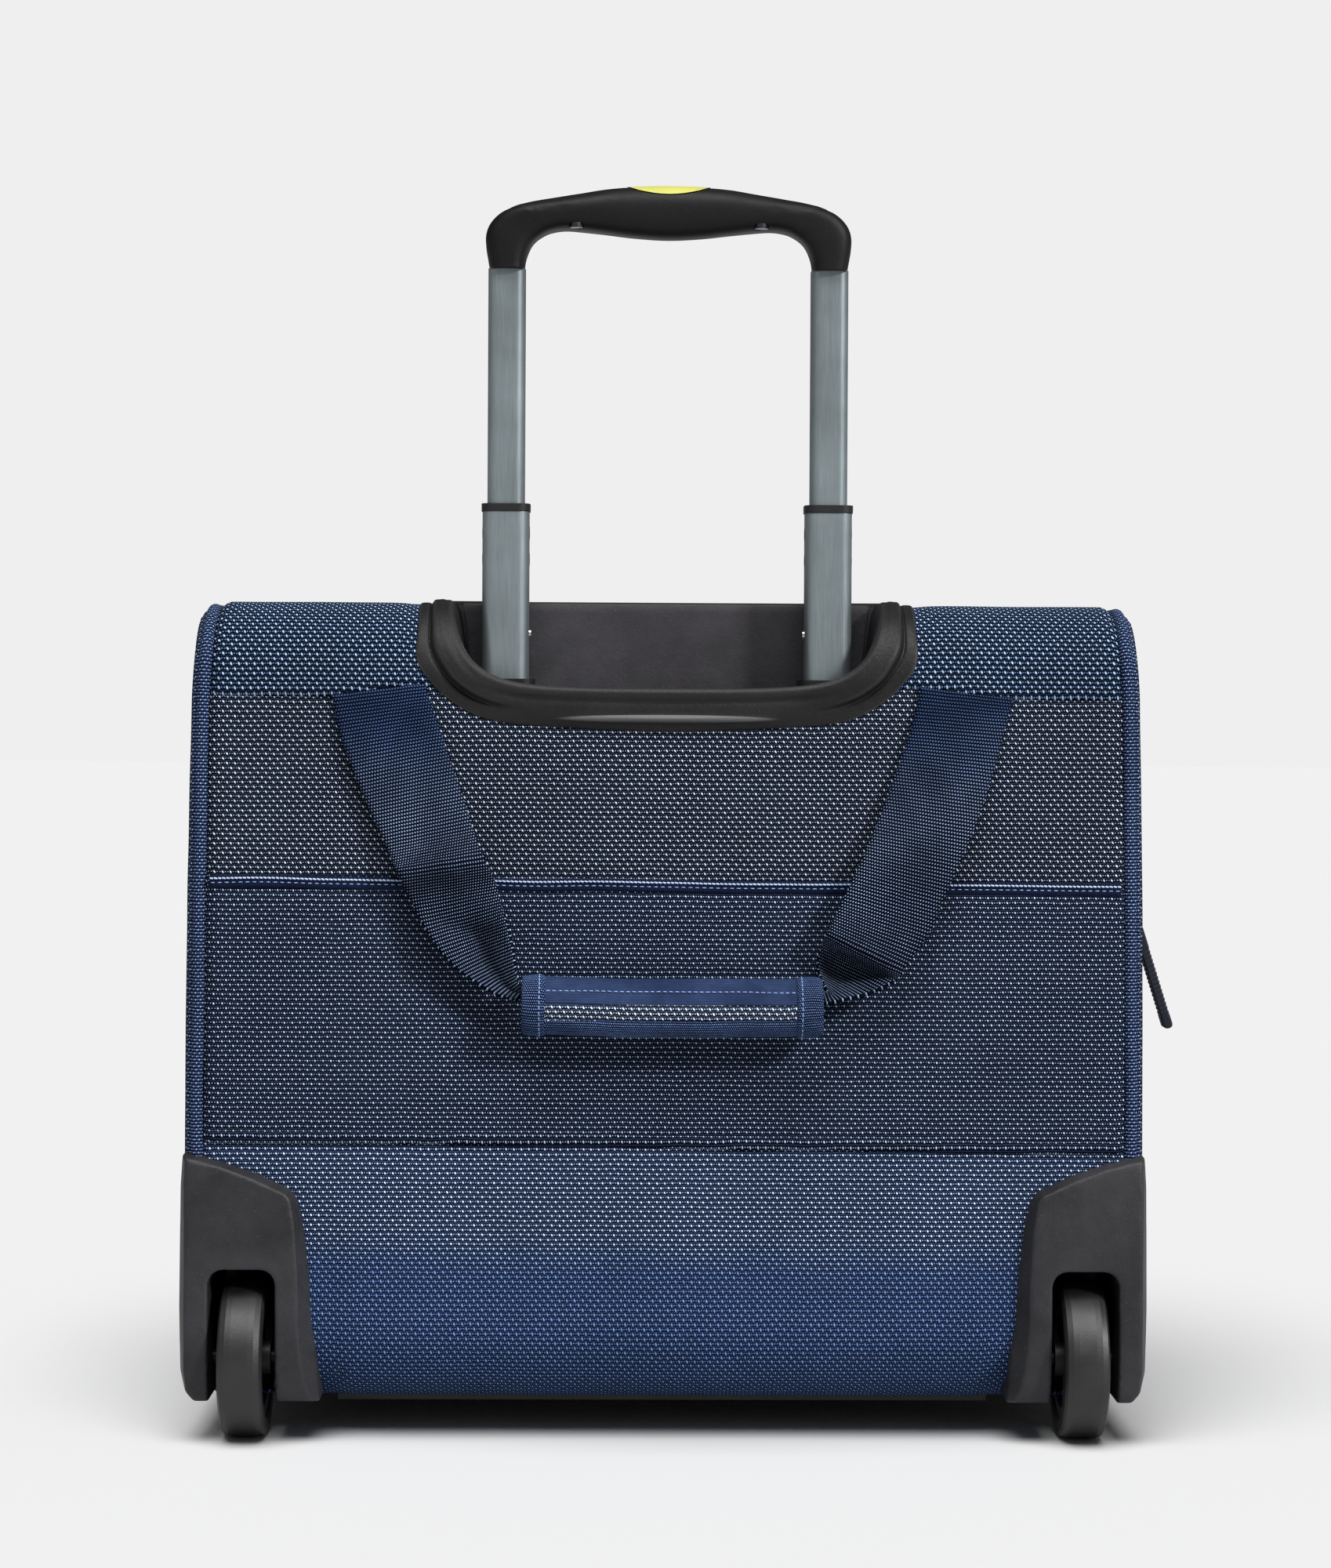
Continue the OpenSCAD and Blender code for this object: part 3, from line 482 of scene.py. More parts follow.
# ======================================================================
# mesh building (all lengths in mm until make())
# ======================================================================
class Mesh:
    def __init__(self):
        self.v, self.q, self.w, self.m, self.n = [], [], [], [], 0

    def grid(self, P, W=None, cu=False, cv=False, flip=False, skip=None, mi=0):
        P = np.asarray(P, float)
        n, m = P.shape[:2]
        base = self.n
        self.v.append(P.reshape(-1, 3))
        self.n += n * m
        I, J = np.meshgrid(np.arange(n if cu else n - 1), np.arange(m if cv else m - 1), indexing="ij")
        I2, J2 = (I + 1) % n, (J + 1) % m
        q = np.stack([I * m + J, I2 * m + J, I2 * m + J2, I * m + J2], -1).reshape(-1, 4) + base
        if W is None:
            W = np.zeros((n + 1, m + 1, 2))
        W = np.asarray(W, float)
        w = np.stack([W[I, J], W[I + 1, J], W[I + 1, J + 1], W[I, J + 1]], -2).reshape(-1, 4, 2)
        if flip:
            q, w = q[:, ::-1], w[:, ::-1]
        if skip is not None:
            keep = ~skip[:I.shape[0], :I.shape[1]].reshape(-1)
            q, w = q[keep], w[keep]
        self.q += q.tolist()
        self.w += [f.tolist() for f in w]
        self.m += [mi] * len(q)
        return base

    def faces(self, V, F, W=None, mi=0):
        base = self.n
        V = np.asarray(V, float)
        self.v.append(V)
        self.n += len(V)
        for f in F:
            self.q.append([int(i) + base for i in f])
            self.w.append([[0, 0] if W is None else list(W[i]) for i in f])
            self.m.append(mi)
        return base

    def face(self, idx, mi=0, W=None):
        self.q.append(list(idx))
        self.w.append([[0, 0]] * len(idx) if W is None else W)
        self.m.append(mi)

    def make(self, name, mats, body=None, replaces=(), sharp=None, smooth=True, clean=True):
        me = bpy.data.meshes.new(name)
        V = np.concatenate(self.v) * MM
        me.from_pydata(V.tolist(), [], self.q)
        w = np.array([c for f in self.w for c in f], float)
        at = me.attributes.new("wv", "FLOAT_VECTOR", "CORNER")
        at.data.foreach_set("vector", np.c_[w, np.zeros(len(w))].astype(np.float32).ravel())
        me.polygons.foreach_set("material_index", self.m)
        me.polygons.foreach_set("use_smooth", [smooth] * len(self.q))
        for mt in mats if isinstance(mats, (list, tuple)) else [mats]:
            me.materials.append(MAT[mt])
        if clean:
            import bmesh
            bm = bmesh.new()
            bm.from_mesh(me)
            loose = [v for v in bm.verts if not v.link_faces]
            bmesh.ops.delete(bm, geom=loose, context="VERTS")
            bmesh.ops.recalc_face_normals(bm, faces=bm.faces) if clean == "normals" else None
            bm.to_mesh(me)
            bm.free()
        me.update()
        if sharp:
            me.set_sharp_from_angle(angle=math.radians(sharp))
        ob = bpy.data.objects.new(name, me)
        bpy.context.scene.collection.objects.link(ob)
        finish_piece(ob, body, replaces)
        return ob


def finish_piece(ob, body=None, replaces=()):
    if replaces:
        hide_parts(*replaces)
    if body:
        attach(ob, body)
    return ob


def applied(ob):
    bpy.context.view_layer.update()
    dg = bpy.context.evaluated_depsgraph_get()
    me = bpy.data.meshes.new_from_object(ob.evaluated_get(dg), preserve_all_data_layers=True, depsgraph=dg)
    old = ob.data
    ob.modifiers.clear()
    ob.data = me
    if not old.users:
        bpy.data.meshes.remove(old)
    return ob


def thicken(ob, t, offset=-1.0, lined=0):
    """Gives a sheet its thickness t in mm. A lined sheet has the lining on its new side (1) or its old side (-1)."""
    m = ob.modifiers.new("t", "SOLIDIFY")
    if lined:
        ob.data.materials.append(MAT["lining"])
        m.material_offset = lined
        if lined < 0:
            ob.data.polygons.foreach_set("material_index", [1] * len(ob.data.polygons))
            m.material_offset_rim = -1
    m.thickness = t * MM
    m.offset = offset
    m.use_even_offset = False
    return applied(ob)


def cut(ob, other, how="DIFFERENCE", keep=False):
    m = ob.modifiers.new("b", "BOOLEAN")
    m.object = other
    m.operation = how
    m.solver = "EXACT"
    applied(ob)
    if not keep:
        me = other.data
        bpy.data.objects.remove(other)
        bpy.data.meshes.remove(me)
    return ob


def remeshed(ob, voxel, smooth=0, factor=0.5):
    m = ob.modifiers.new("r", "REMESH")
    m.mode = "VOXEL"
    m.voxel_size = voxel * MM
    m.use_smooth_shade = True
    if smooth:
        s = ob.modifiers.new("s", "SMOOTH")
        s.iterations = smooth
        s.factor = factor
    return applied(ob)


def rand_grid(seed, n=64):
    return np.random.default_rng(seed).random((n, n))


_tables = {}


def wav(x, y, size, seed=0):
    """Smooth value noise from -1 to 1, with features about size mm across."""
    t = _tables.setdefault(seed, rand_grid(seed + 11))
    x, y = np.broadcast_arrays(np.asarray(x, float) / size, np.asarray(y, float) / size)
    i, j = np.floor(x).astype(int), np.floor(y).astype(int)
    fx, fy = x - i, y - j
    fx, fy = fx * fx * (3 - 2 * fx), fy * fy * (3 - 2 * fy)
    g = lambda a, b: t[a % 64, b % 64]
    v = (g(i, j) * (1 - fx) + g(i + 1, j) * fx) * (1 - fy) + (g(i, j + 1) * (1 - fx) + g(i + 1, j + 1) * fx) * fy
    return 2 * v - 1


def sstep(x, a, b):
    t = np.clip((np.asarray(x, float) - a) / (b - a), 0, 1)
    return t * t * (3 - 2 * t)


def spline(pts, n, closed=False):
    """n points on a Catmull-Rom curve through pts, evenly spaced in its own parameter."""
    P = np.asarray(pts, float)
    if P.ndim == 1:
        P = P[:, None]
    k = len(P)
    if closed:
        t = np.arange(n) / n * k
        idx = lambda i: i % k
    else:
        t = np.linspace(0, k - 1, n)
        idx = lambda i: np.clip(i, 0, k - 1)
    i = np.floor(t).astype(int)
    if not closed:
        i = np.minimum(i, k - 2)
    f = (t - i)[:, None]
    a, b, c, d = P[idx(i - 1)], P[idx(i)], P[idx(i + 1)], P[idx(i + 2)]
    if not closed:
        a = np.where((i == 0)[:, None], 2 * b - c, a)
        d = np.where((i == k - 2)[:, None], 2 * c - b, d)
    return 0.5 * (2 * b + (c - a) * f + (2 * a - 5 * b + 4 * c - d) * f**2 + (3 * b - a - 3 * c + d) * f**3)


def even(P, n):
    """P resampled to n points evenly spaced along its length."""
    P = np.asarray(P, float)
    d = np.r_[0, np.cumsum(np.linalg.norm(np.diff(P, axis=0), axis=1))]
    t = np.linspace(0, d[-1], n)
    return np.stack([np.interp(t, d, P[:, i]) for i in range(P.shape[1])], 1)


def length(P):
    return float(np.linalg.norm(np.diff(np.asarray(P, float), axis=0), axis=1).sum())


def tangents(P):
    t = np.gradient(np.asarray(P, float), axis=0)
    return t / np.maximum(np.linalg.norm(t, axis=1, keepdims=True), 1e-9)


def unit(a):
    return a / np.maximum(np.linalg.norm(a, axis=-1, keepdims=True), 1e-9)


def inside(poly, x, y):
    """Whether points are inside a polygon."""
    poly = np.asarray(poly, float)
    x, y = np.asarray(x, float), np.asarray(y, float)
    c = np.zeros(np.broadcast(x, y).shape, bool)
    for (x0, y0), (x1, y1) in zip(poly, np.roll(poly, -1, 0)):
        if y0 == y1:
            continue
        hit = ((y0 > y) != (y1 > y)) & (x < (x1 - x0) * (y - y0) / (y1 - y0) + x0)
        c ^= hit
    return c


def sweep(mesh, path, section, normal, mi=0, closed_section=True, caps=True, W0=0.0):
    """A section swept along path. section is (m, 2) or (n, m, 2): across and along the normal. normal is (n, 3) or one vector."""
    path = np.asarray(path, float)
    t = tangents(path)
    nrm = np.broadcast_to(np.asarray(normal, float), path.shape)
    nrm = unit(nrm - (nrm * t).sum(1, keepdims=True) * t)
    side = np.cross(t, nrm)
    sec = np.asarray(section, float)
    if sec.ndim == 2:
        sec = np.broadcast_to(sec, (len(path), *sec.shape))
    P = path[:, None] + sec[..., :1] * side[:, None] + sec[..., 1:] * nrm[:, None]
    along = np.r_[0, np.cumsum(np.linalg.norm(np.diff(path, axis=0), axis=1))] + W0
    m = sec.shape[1]
    if closed_section:
        s = np.concatenate([sec, sec[:, :1]], 1)
    else:
        s = sec
    around = np.concatenate([np.zeros((len(path), 1)), np.cumsum(np.linalg.norm(np.diff(s, axis=1), axis=2), axis=1)], 1)
    W = np.stack([around, np.broadcast_to(along[:, None], around.shape)], -1)
    base = mesh.grid(P, W, cv=closed_section, mi=mi)
    if caps and closed_section:
        mesh.face([base + i for i in range(m)], mi)
        mesh.face([base + (len(path) - 1) * m + i for i in range(m)][::-1], mi)
    return base


def circle(r, n=12, ry=None):
    a = np.arange(n) / n * 2 * PI
    return np.stack([r * np.cos(a), (ry or r) * np.sin(a)], 1)


def superellipse(a, b, n=32, e=2.6):
    t = np.arange(n) / n * 2 * PI
    c, s = np.cos(t), np.sin(t)
    return np.stack([a * np.sign(c) * np.abs(c) ** (2 / e), b * np.sign(s) * np.abs(s) ** (2 / e)], 1)


def stitches(mesh, path, normal, pitch=3.0, size=(2.1, 0.34, 0.28), mi=0, lift=0.1, seed=5, slant=0.0):
    """A row of sewn stitches along path, each a small raised loop of thread."""
    path = np.asarray(path, float)
    n = max(int(length(path) / pitch), 2)
    P = even(path, n + 1)
    nr = even(np.broadcast_to(np.asarray(normal, float), path.shape) + 0.0, n + 1) if np.ndim(normal) > 1 else np.broadcast_to(np.asarray(normal, float), P.shape)
    t = tangents(P)
    C = (P[1:] + P[:-1]) / 2
    t, nr = unit(t[1:] + t[:-1]), unit(nr[1:] + nr[:-1])
    side = np.cross(t, nr)
    rng = np.random.default_rng(seed)
    k = len(C)
    L = size[0] / 2 * (1 + rng.uniform(-0.08, 0.08, k))[:, None, None]
    t = unit(t + side * (slant + rng.uniform(-0.05, 0.05, k))[:, None])
    a = np.arange(6) / 6 * 2 * PI
    ring = np.stack([np.cos(a) * size[1], np.sin(a) * size[2]], 1)
    rows = []
    for f, g in ((-1.0, 0.35), (-0.7, 0.9), (0.0, 1.0), (0.7, 0.9), (1.0, 0.35)):
        sag = lift - (0.3 if abs(f) == 1.0 else 0.0)
        rows.append(C[:, None] + t[:, None] * L * f + side[:, None] * ring[None, :, :1] * g + nr[:, None] * (ring[None, :, 1:] * g + sag))
    V = np.stack(rows, 1).reshape(-1, 3)
    base = mesh.n
    mesh.v.append(V)
    mesh.n += len(V)
    for i in range(k):
        o = base + i * 30
        for r in range(4):
            for j in range(6):
                j2 = (j + 1) % 6
                mesh.q.append([o + r * 6 + j, o + r * 6 + j2, o + r * 6 + 6 + j2, o + r * 6 + 6 + j])
        mesh.q.append([o + j for j in range(5, -1, -1)])
        mesh.q.append([o + 24 + j for j in range(6)])
        mesh.w += [[[0, 0]] * 4] * 24 + [[[0, 0]] * 6] * 2
        mesh.m += [mi] * 26


# ======================================================================
# the case's outline
# ======================================================================
HX, REAR, TOP, UNDER = 214.5, 98.0, 378.0, 17.0
S_TOP = 396.265          # where the top rear radius ends
S_END = S_TOP + 135.5    # the shell's front edge on top
S_LOW = 55 - 38 * PI / 2  # where the bottom rear radius starts


def prof(s, g=0.0):
    """Point (y, z) on the rear shell at the distance s up its side view, lifted by g, and its normal."""
    s = np.asarray(s, float)
    th = np.clip((55 - s) / 38, 0, PI / 2)
    ph = np.clip((s - 346) / 32, 0, PI / 2)
    low, up = s < 55, s > 346
    ny = np.where(low, -np.cos(th), np.where(up, -np.cos(ph), -1.0))
    nz = np.where(low, -np.sin(th), np.where(up, np.sin(ph), 0.0))
    y = np.where(low, -60 - 38 * np.cos(th), np.where(up, -66 - 32 * np.cos(ph), -98.0))
    z = np.where(low, 55 - 38 * np.sin(th), np.where(up, 346 + 32 * np.sin(ph), s))
    y = y + np.where(s < S_LOW, S_LOW - s, 0) + np.where(s > S_TOP, s - S_TOP, 0)
    return y + g * ny, z + g * nz, ny, nz


def wide(z):
    """How much wider than its CAD half width the filled case is at height z."""
    return np.interp(z, [0, 17, 60, 131, 200, 252, 300, 338, 355, 372, 380], [1.0, 1.0, 1.4, 1.8, 1.4, 0.9, 0.1, -0.9, -1.9, -2.6, -3.0])


def spread(x, z):
    x = np.asarray(x, float)
    return x * (1 + wide(z) / HX)


def on_rear(x, s, g=0.0):
    y, z, _, _ = prof(s, g)
    x, y, z = np.broadcast_arrays(np.asarray(x, float), y, z)
    return np.stack([spread(x, z), y, z], -1)


def rear_normal(s):
    _, _, ny, nz = prof(s)
    return np.stack([np.zeros_like(ny), ny, nz], -1)


HOUSE = np.array([[155, 18.5], [158, 56], [159.2, 76], [162, 99], [165.5, 112], [168.5, 115.5], [184, 122.5],
                  [199, 127.5], [211, 130], [217.4, 130.5], [218.3, 116], [218.8, 61], [218.2, 33], [216, 23], [212, 18.5]])
HOUSE_SIDE = np.array([[-100, 17.5], [-104, 24], [-106.5, 45], [-106.5, 80], [-105, 108], [-101.5, 131], [-84, 130],
                       [-62, 124], [-42, 111], [-26, 90], [-15, 62], [-9, 34], [-8, 17.5]])
# the tray's outline, its crest and its mouth, as (x, s) on the shell, from bottom middle to back middle
TRAY_O = [(0, 321.6), (40, 323), (70, 325), (86, 328.6), (98, 335.5), (106, 343), (112.5, 353), (112.5, 370), (112.5, 395), (112, 408), (106, 412.3), (60, 412.3), (0, 412.3)]
TRAY_C = [(0, 338), (40, 338.5), (66, 340), (80, 343.5), (89, 349), (94.5, 356), (98, 365), (100, 378), (100.5, 395), (99, 404), (92, 407), (50, 407), (0, 407)]
TRAY_M = [(0, 341), (40, 341.3), (65, 343), (78, 346.5), (86.5, 351.5), (91.5, 358), (94.5, 366), (96.5, 378), (97, 394), (95, 401.5), (88, 403.8), (50, 403.8), (0, 403.8)]
TRAY_F = [(0, -92), (40, -92), (64, -92), (76, -92), (83, -91), (88, -88), (90, -82), (90, -75), (90, -66), (90, -62), (86, -58), (50, -58), (0, -58)]


def full_loop(half, n):
    """A mirrored closed loop with n points from a half outline that starts and ends on the middle plane."""
    half = np.asarray(half, float)
    flip = np.r_[-1, np.ones(half.shape[1] - 1)] if half.shape[1] > 1 else np.ones(1)
    return spline(np.concatenate([half, (half * flip)[::-1][1:-1]]), n, closed=True)


tray_loop = full_loop(TRAY_O, 96)


def tray_dist(x, s):
    """Distance from the tray's outline on the shell, in mm (unsigned)."""
    x, s = np.broadcast_arrays(np.asarray(x, float), np.asarray(s, float))
    d = np.full(x.shape, 1e9)
    for a, b in tray_loop:
        d = np.minimum(d, (x - a) ** 2 + (s - b) ** 2)
    return np.sqrt(d)


def yoke_edge(x):
    """Height of the yoke's lower edge: the straps' inner corners lift it."""
    a = np.abs(np.asarray(x, float))
    return 337.6 + 4.6 * sstep(a, 98, 110) * (1 - sstep(a, 110, 152)) + 0.35 * wav(x, 0, 26, 3)


def strap_hump(x, s):
    """The fabric stands off a little where the straps are sewn in."""
    a = np.abs(x)
    return 1.0 * sstep(a, 100, 114) * (1 - sstep(a, 144, 160)) * np.exp(-((s - 340) / 9.0) ** 2)


def panel(name, mat, xs, rows, disp, replaces, skip=None, thick=1.2):
    """A curved rear panel: rows is (n,) of s, or (n, len(xs)); disp(x, s) lifts it off the shell."""
    rows = np.asarray(rows, float)
    Sg = rows if rows.ndim == 2 else np.broadcast_to(rows[:, None], (len(rows), len(xs)))
    Xg = np.broadcast_to(xs, Sg.shape)
    g = disp(Xg, Sg)
    # the edge turns in under the piping
    e = np.clip((np.abs(Xg) - 202.2) / 3.8, 0, 1)
    g = g * (1 - e) - 2.2 * e**2
    P = on_rear(Xg, Sg, g)
    W = np.stack([spread(Xg, P[..., 2]), Sg], -1)
    m = Mesh()
    m.grid(P, W, flip=False, skip=None if skip is None else skip(Xg, Sg))
    ob = m.make(name, mat, None, replaces)
    thicken(ob, thick, lined=-1)
    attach(ob, "case")
    return ob


def seam_dip(s, at, depth, half):
    return -depth * np.exp(-((s - at) / half) ** 2)


def quilt(x, s):
    """Slow waviness of padded cloth."""
    return 0.45 * wav(x, s, 62, 1) + 0.22 * wav(x, s, 27, 2)


xs = np.r_[-206, -205, -203.6, -202, np.arange(-199, 199.5, 2.95), 199, 202, 203.6, 205, 206]
xs = np.unique(np.round(xs, 3))


def house_skip(X, Sg):
    _, z, _, _ = prof(Sg)
    a = np.abs(X)
    poly = HOUSE.copy()
    poly[:6, 0] += 4
    poly[2:10, 1] -= 4
    poly[9:, 0] += 30
    hit = inside(poly, a, z) & (Sg > -30)
    # a face goes only if all its corners are inside
    return hit[:-1, :-1] & hit[1:, :-1] & hit[:-1, 1:] & hit[1:, 1:]


def tray_skip(X, Sg):
    hit = inside(tray_loop, X, Sg) & (tray_dist(X, Sg) > 3.2)
    return hit[:-1, :-1] & hit[1:, :-1] & hit[:-1, 1:] & hit[1:, 1:]


def near_house(x, s):
    a = np.abs(x)
    return sstep(a, 140, 152) * (1 - sstep(s, 118, 136))


# lower panel: round the bottom rear edge and up under the lip at z 135
def lower_disp(x, s):
    t = np.clip((s + 9) / 144, 0, 1)
    swell = 1.5 * np.sin(PI * t) ** 0.8 * (1 - (np.abs(x) / 206) ** 4)
    g = swell + quilt(x, s) * sstep(s, -2, 20)
    g = g + seam_dip(s, 137, 1.9, 4.2)
    return g * (1 - near_house(x, s)) + 0.1


rows = np.r_[np.arange(-9, 127, 3.0), 127, 129, 131, 132.5, 134, 136, 138.5]
panel("lower_back_cloth", "weave_low", xs, rows, lower_disp, ["lower_back_panel"], house_skip)


# middle panel: its lower edge is folded and stands proud over the lower panel
def lip_edge(x):
    return 134.6 - 0.012 * np.asarray(x) + 0.55 * wav(x, 0, 34, 4) + 0.25 * wav(x, 5, 13, 5)


mid_s = [(0.9, -1.0), (0.2, -0.2), (0.0, 0.7), (0.35, 1.35), (1.2, 1.85), (2.4, 2.0), (3.6, 1.75), (4.3, 1.45), (5.2, 1.65), (7.5, 1.7), (11, 1.55)]
low_rows = np.stack([lip_edge(xs) + a for a, _ in mid_s])
low_g = np.stack([np.full(len(xs), b) for _, b in mid_s])
rest = np.r_[np.arange(149, 243, 3.0), 244, 246, 248, 249.6, 251]
rows = np.concatenate([low_rows, np.broadcast_to(rest[:, None], (len(rest), len(xs)))])


def mid_disp(x, s):
    g = np.empty(x.shape)
    base = 1.25 + 0.5 * np.sin(PI * np.clip((s - 135) / 116, 0, 1)) * (1 - (np.abs(x) / 206) ** 4) + quilt(x, s) * 0.8
    base = base + seam_dip(s, 251, 1.2, 4.5)
    # pulled in by the two upright seams
    base = base - 0.55 * np.exp(-((x + 117) / 3.2) ** 2) * (1 - sstep(s, 240, 248)) - 0.55 * np.exp(-((x - 115) / 3.2) ** 2) * (1 - sstep(s, 222, 230))
    g[:] = base
    k = len(mid_s)
    w = sstep(s[:k], lip_edge(x[:k]) + 6.5, lip_edge(x[:k]) + 12)
    g[:k] = low_g * (1 - w) + base[:k] * w
    return g


panel("middle_back_cloth", "weave", xs, rows, mid_disp, ["middle_back_panel"], house_skip)


# upper panel, from the taped seam to the yoke
def upper_disp(x, s):
    g = 0.7 + 0.6 * np.sin(PI * np.clip((s - 252) / 86, 0, 1)) * (1 - (np.abs(x) / 206) ** 4) + quilt(x, s) * 0.8
    g = g + seam_dip(s, 252, 0.7, 4.0) + seam_dip(s, 339, 1.5, 3.5)
    near = np.exp(-(tray_dist(x, s) / 7.0) ** 2)
    return g * (1 - near) + near * 0.1


rows = np.r_[250.6, 251.6, 253, 255, 257, np.arange(260, 332, 3.0), 333, 335, 337, 338.5, 340, 342, 344.5]
panel("upper_back_cloth", "weave_bright", xs, rows, upper_disp, ["upper_back_panel"], tray_skip)

# yoke: from the seam at z 338 over the top edge to the zip
yk = [(0.3, -0.6), (-0.1, 0.1), (0.0, 0.7), (0.6, 1.15), (1.6, 1.3), (3.0, 1.2), (4.4, 0.95), (6.5, 1.1), (9.0, 1.2)]
low_rows = np.stack([yoke_edge(xs) + a for a, _ in yk])
yoke_g = np.stack([np.full(len(xs), b) for _, b in yk])
rest = np.r_[np.arange(354, 520, 3.0), 522, 525, 527.5, 529.5, 531]
rows = np.concatenate([low_rows, np.broadcast_to(rest[:, None], (len(rest), len(xs)))])


def yoke_disp(x, s):
    base = 0.9 + quilt(x, s) * 0.9 + 0.25 * wav(x, s, 14, 7) * np.exp(-((s - 350) / 20.0) ** 2)
    base = base - 1.3 * sstep(s, 523, 531)
    base = base + 0.9 * np.sin(PI * np.clip((s - 400) / 125, 0, 1)) * (1 - (np.abs(x) / 206) ** 4)
    near = np.exp(-(tray_dist(x, s) / 7.0) ** 2)
    base = base * (1 - near) + near * 0.1
    g = base.copy()
    k = len(yk)
    w = sstep(s[:k], yoke_edge(x[:k]) + 5.0, yoke_edge(x[:k]) + 11)
    g[:k] = (yoke_g + strap_hump(x[:k], s[:k])) * (1 - w) + base[:k] * w
    close = np.exp(-(tray_dist(x, s) / 5.0) ** 2)
    return g * (1 - close) + close * np.minimum(g, 0.1)


panel("yoke_cloth", "weave_yoke", xs, rows, yoke_disp, ["top_yoke"], tray_skip)

# seam tape with its two rows of thread, at z 252
m = Mesh()
tx = np.linspace(-204.6, 204.6, 180)
wob = 0.35 * wav(tx, 0, 30, 8) - 0.0065 * tx
prof_t = [(-2.3, 0.1), (-2.15, 1.35), (-1.7, 1.7), (-0.6, 1.75), (0.3, 1.5), (1.0, 1.75), (1.8, 1.9), (2.25, 1.5), (2.4, 0.2)]
P = np.stack([on_rear(tx, 252.0 + wob + a, b + 0.12 * wav(tx, a, 9, 9)) for a, b in prof_t])
W = np.stack([np.stack([np.full(len(tx), a), tx], -1) for a, _ in prof_t])
m.grid(P, W)
ob = m.make("seam_tape", "binding", None)
thicken(ob, 0.8)
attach(ob, "case")

m = Mesh()
line = lambda x, s, g: on_rear(x, s, g)
stitches(m, line(tx, 253.5 + wob, 2.75), (0, -1, 0), 1.85, (1.75, 0.42, 0.36), 0, seed=1, slant=0.18)
stitches(m, line(tx, 251.6 + wob, 2.6), (0, -1, 0), 3.1, (1.9, 0.24, 0.26), 2, seed=2)
lx = np.linspace(-204.5, 204.5, 180)
stitches(m, line(lx, lip_edge(lx) + 4.1, 1.55), (0, -1, 0), 3.0, (2.1, 0.32, 0.28), 1, seed=3)
for side, top in ((-117, 245.5), (115, 226)):
    zs = np.linspace(140, top, 50)
    g = 1.25 + 0.5 * np.sin(PI * (zs - 135) / 116) * (1 - (abs(side) / 206) ** 4) + 0.8 * quilt(np.full(50, side), zs) - 0.55
    stitches(m, line(np.full(50, side) + 0.2 * wav(zs, 0, 18, 6), zs, g + 0.05), (0, -1, 0), 3.2, (2.2, 0.3, 0.26), 1, seed=4)
yx = np.linspace(-203, 203, 200)
for a, b in ((-203, -100), (100, 203)):
    q = np.linspace(a, b, 60)
    stitches(m, line(q, yoke_edge(q) + 4.4, 1.0 + strap_hump(q, yoke_edge(q) + 4.4)), (0, -1, 0), 3.0, (2.1, 0.3, 0.26), 1, seed=6)
m.make("rear_stitching", ["thread_pale", "thread_dark", "thread"], "case", smooth=True)


# ---- piping ----
def rear_piping(side):
    s = np.r_[np.arange(124, S_END - 9, 2.2)]
    g = -2.9 + 1.1 + 0.12 * wav(s, side, 9, 12)
    y, z, ny, nz = prof(s, g)
    x = spread(np.full(len(s), side * 209.4), z) + side * 0.25 * wav(s, 0, 40, 13)
    path = np.stack([x, y, z], 1)
    nrm = np.stack([np.zeros_like(ny), ny, nz], 1)
    m = Mesh()
    r = 2.95 * (1 + 0.03 * wav(s, side + 3, 5, 14))
    sec = circle(1.0, 14)[None] * r[:, None, None]
    sweep(m, path, sec, nrm)
    # the flat edge of the piping sewn to the panel, with its stitches
    for off, lift in ((-4.0, -0.55), (3.4, -1.2)):
        q = path + np.stack([np.full(len(s), side * off), np.zeros(len(s)), np.zeros(len(s))], 1) + nrm * lift
        sweep(m, q, circle(1.3, 8, 0.8), nrm, 0)
    ob = m.make("piping_" + ("right" if side > 0 else "left"), ["piping", "thread_dark"], None, sharp=50)
    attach(ob, "case")
    return ob


pl, pr = rear_piping(-1), rear_piping(1)
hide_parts("rear_piping")
m = Mesh()
for side in (-1, 1):
    s = np.arange(134, S_END - 14, 3.0)
    y, z, ny, nz = prof(s, 0.55)
    path = np.stack([spread(np.full(len(s), side * 203.4), z), y, z], 1)
    stitches(m, path, np.stack([0 * ny, ny, nz], 1), 3.0, (2.1, 0.28, 0.26), 0, lift=0.25, seed=8)
m.make("piping_stitches", ["thread_dark"], "case")


# ---- side panels ----
def y_rear(z, inset=3.0):
    z = np.asarray(z, float)
    a = np.sqrt(np.clip((32 - inset) ** 2 - (np.clip(z, 346, 400) - 346) ** 2, 0, None))
    b = np.sqrt(np.clip((38 - inset) ** 2 - (55 - np.clip(z, 0, 55)) ** 2, 0, None))
    return np.where(z > 346, -66 - a, np.where(z < 55, -60 - b, -98 + inset))


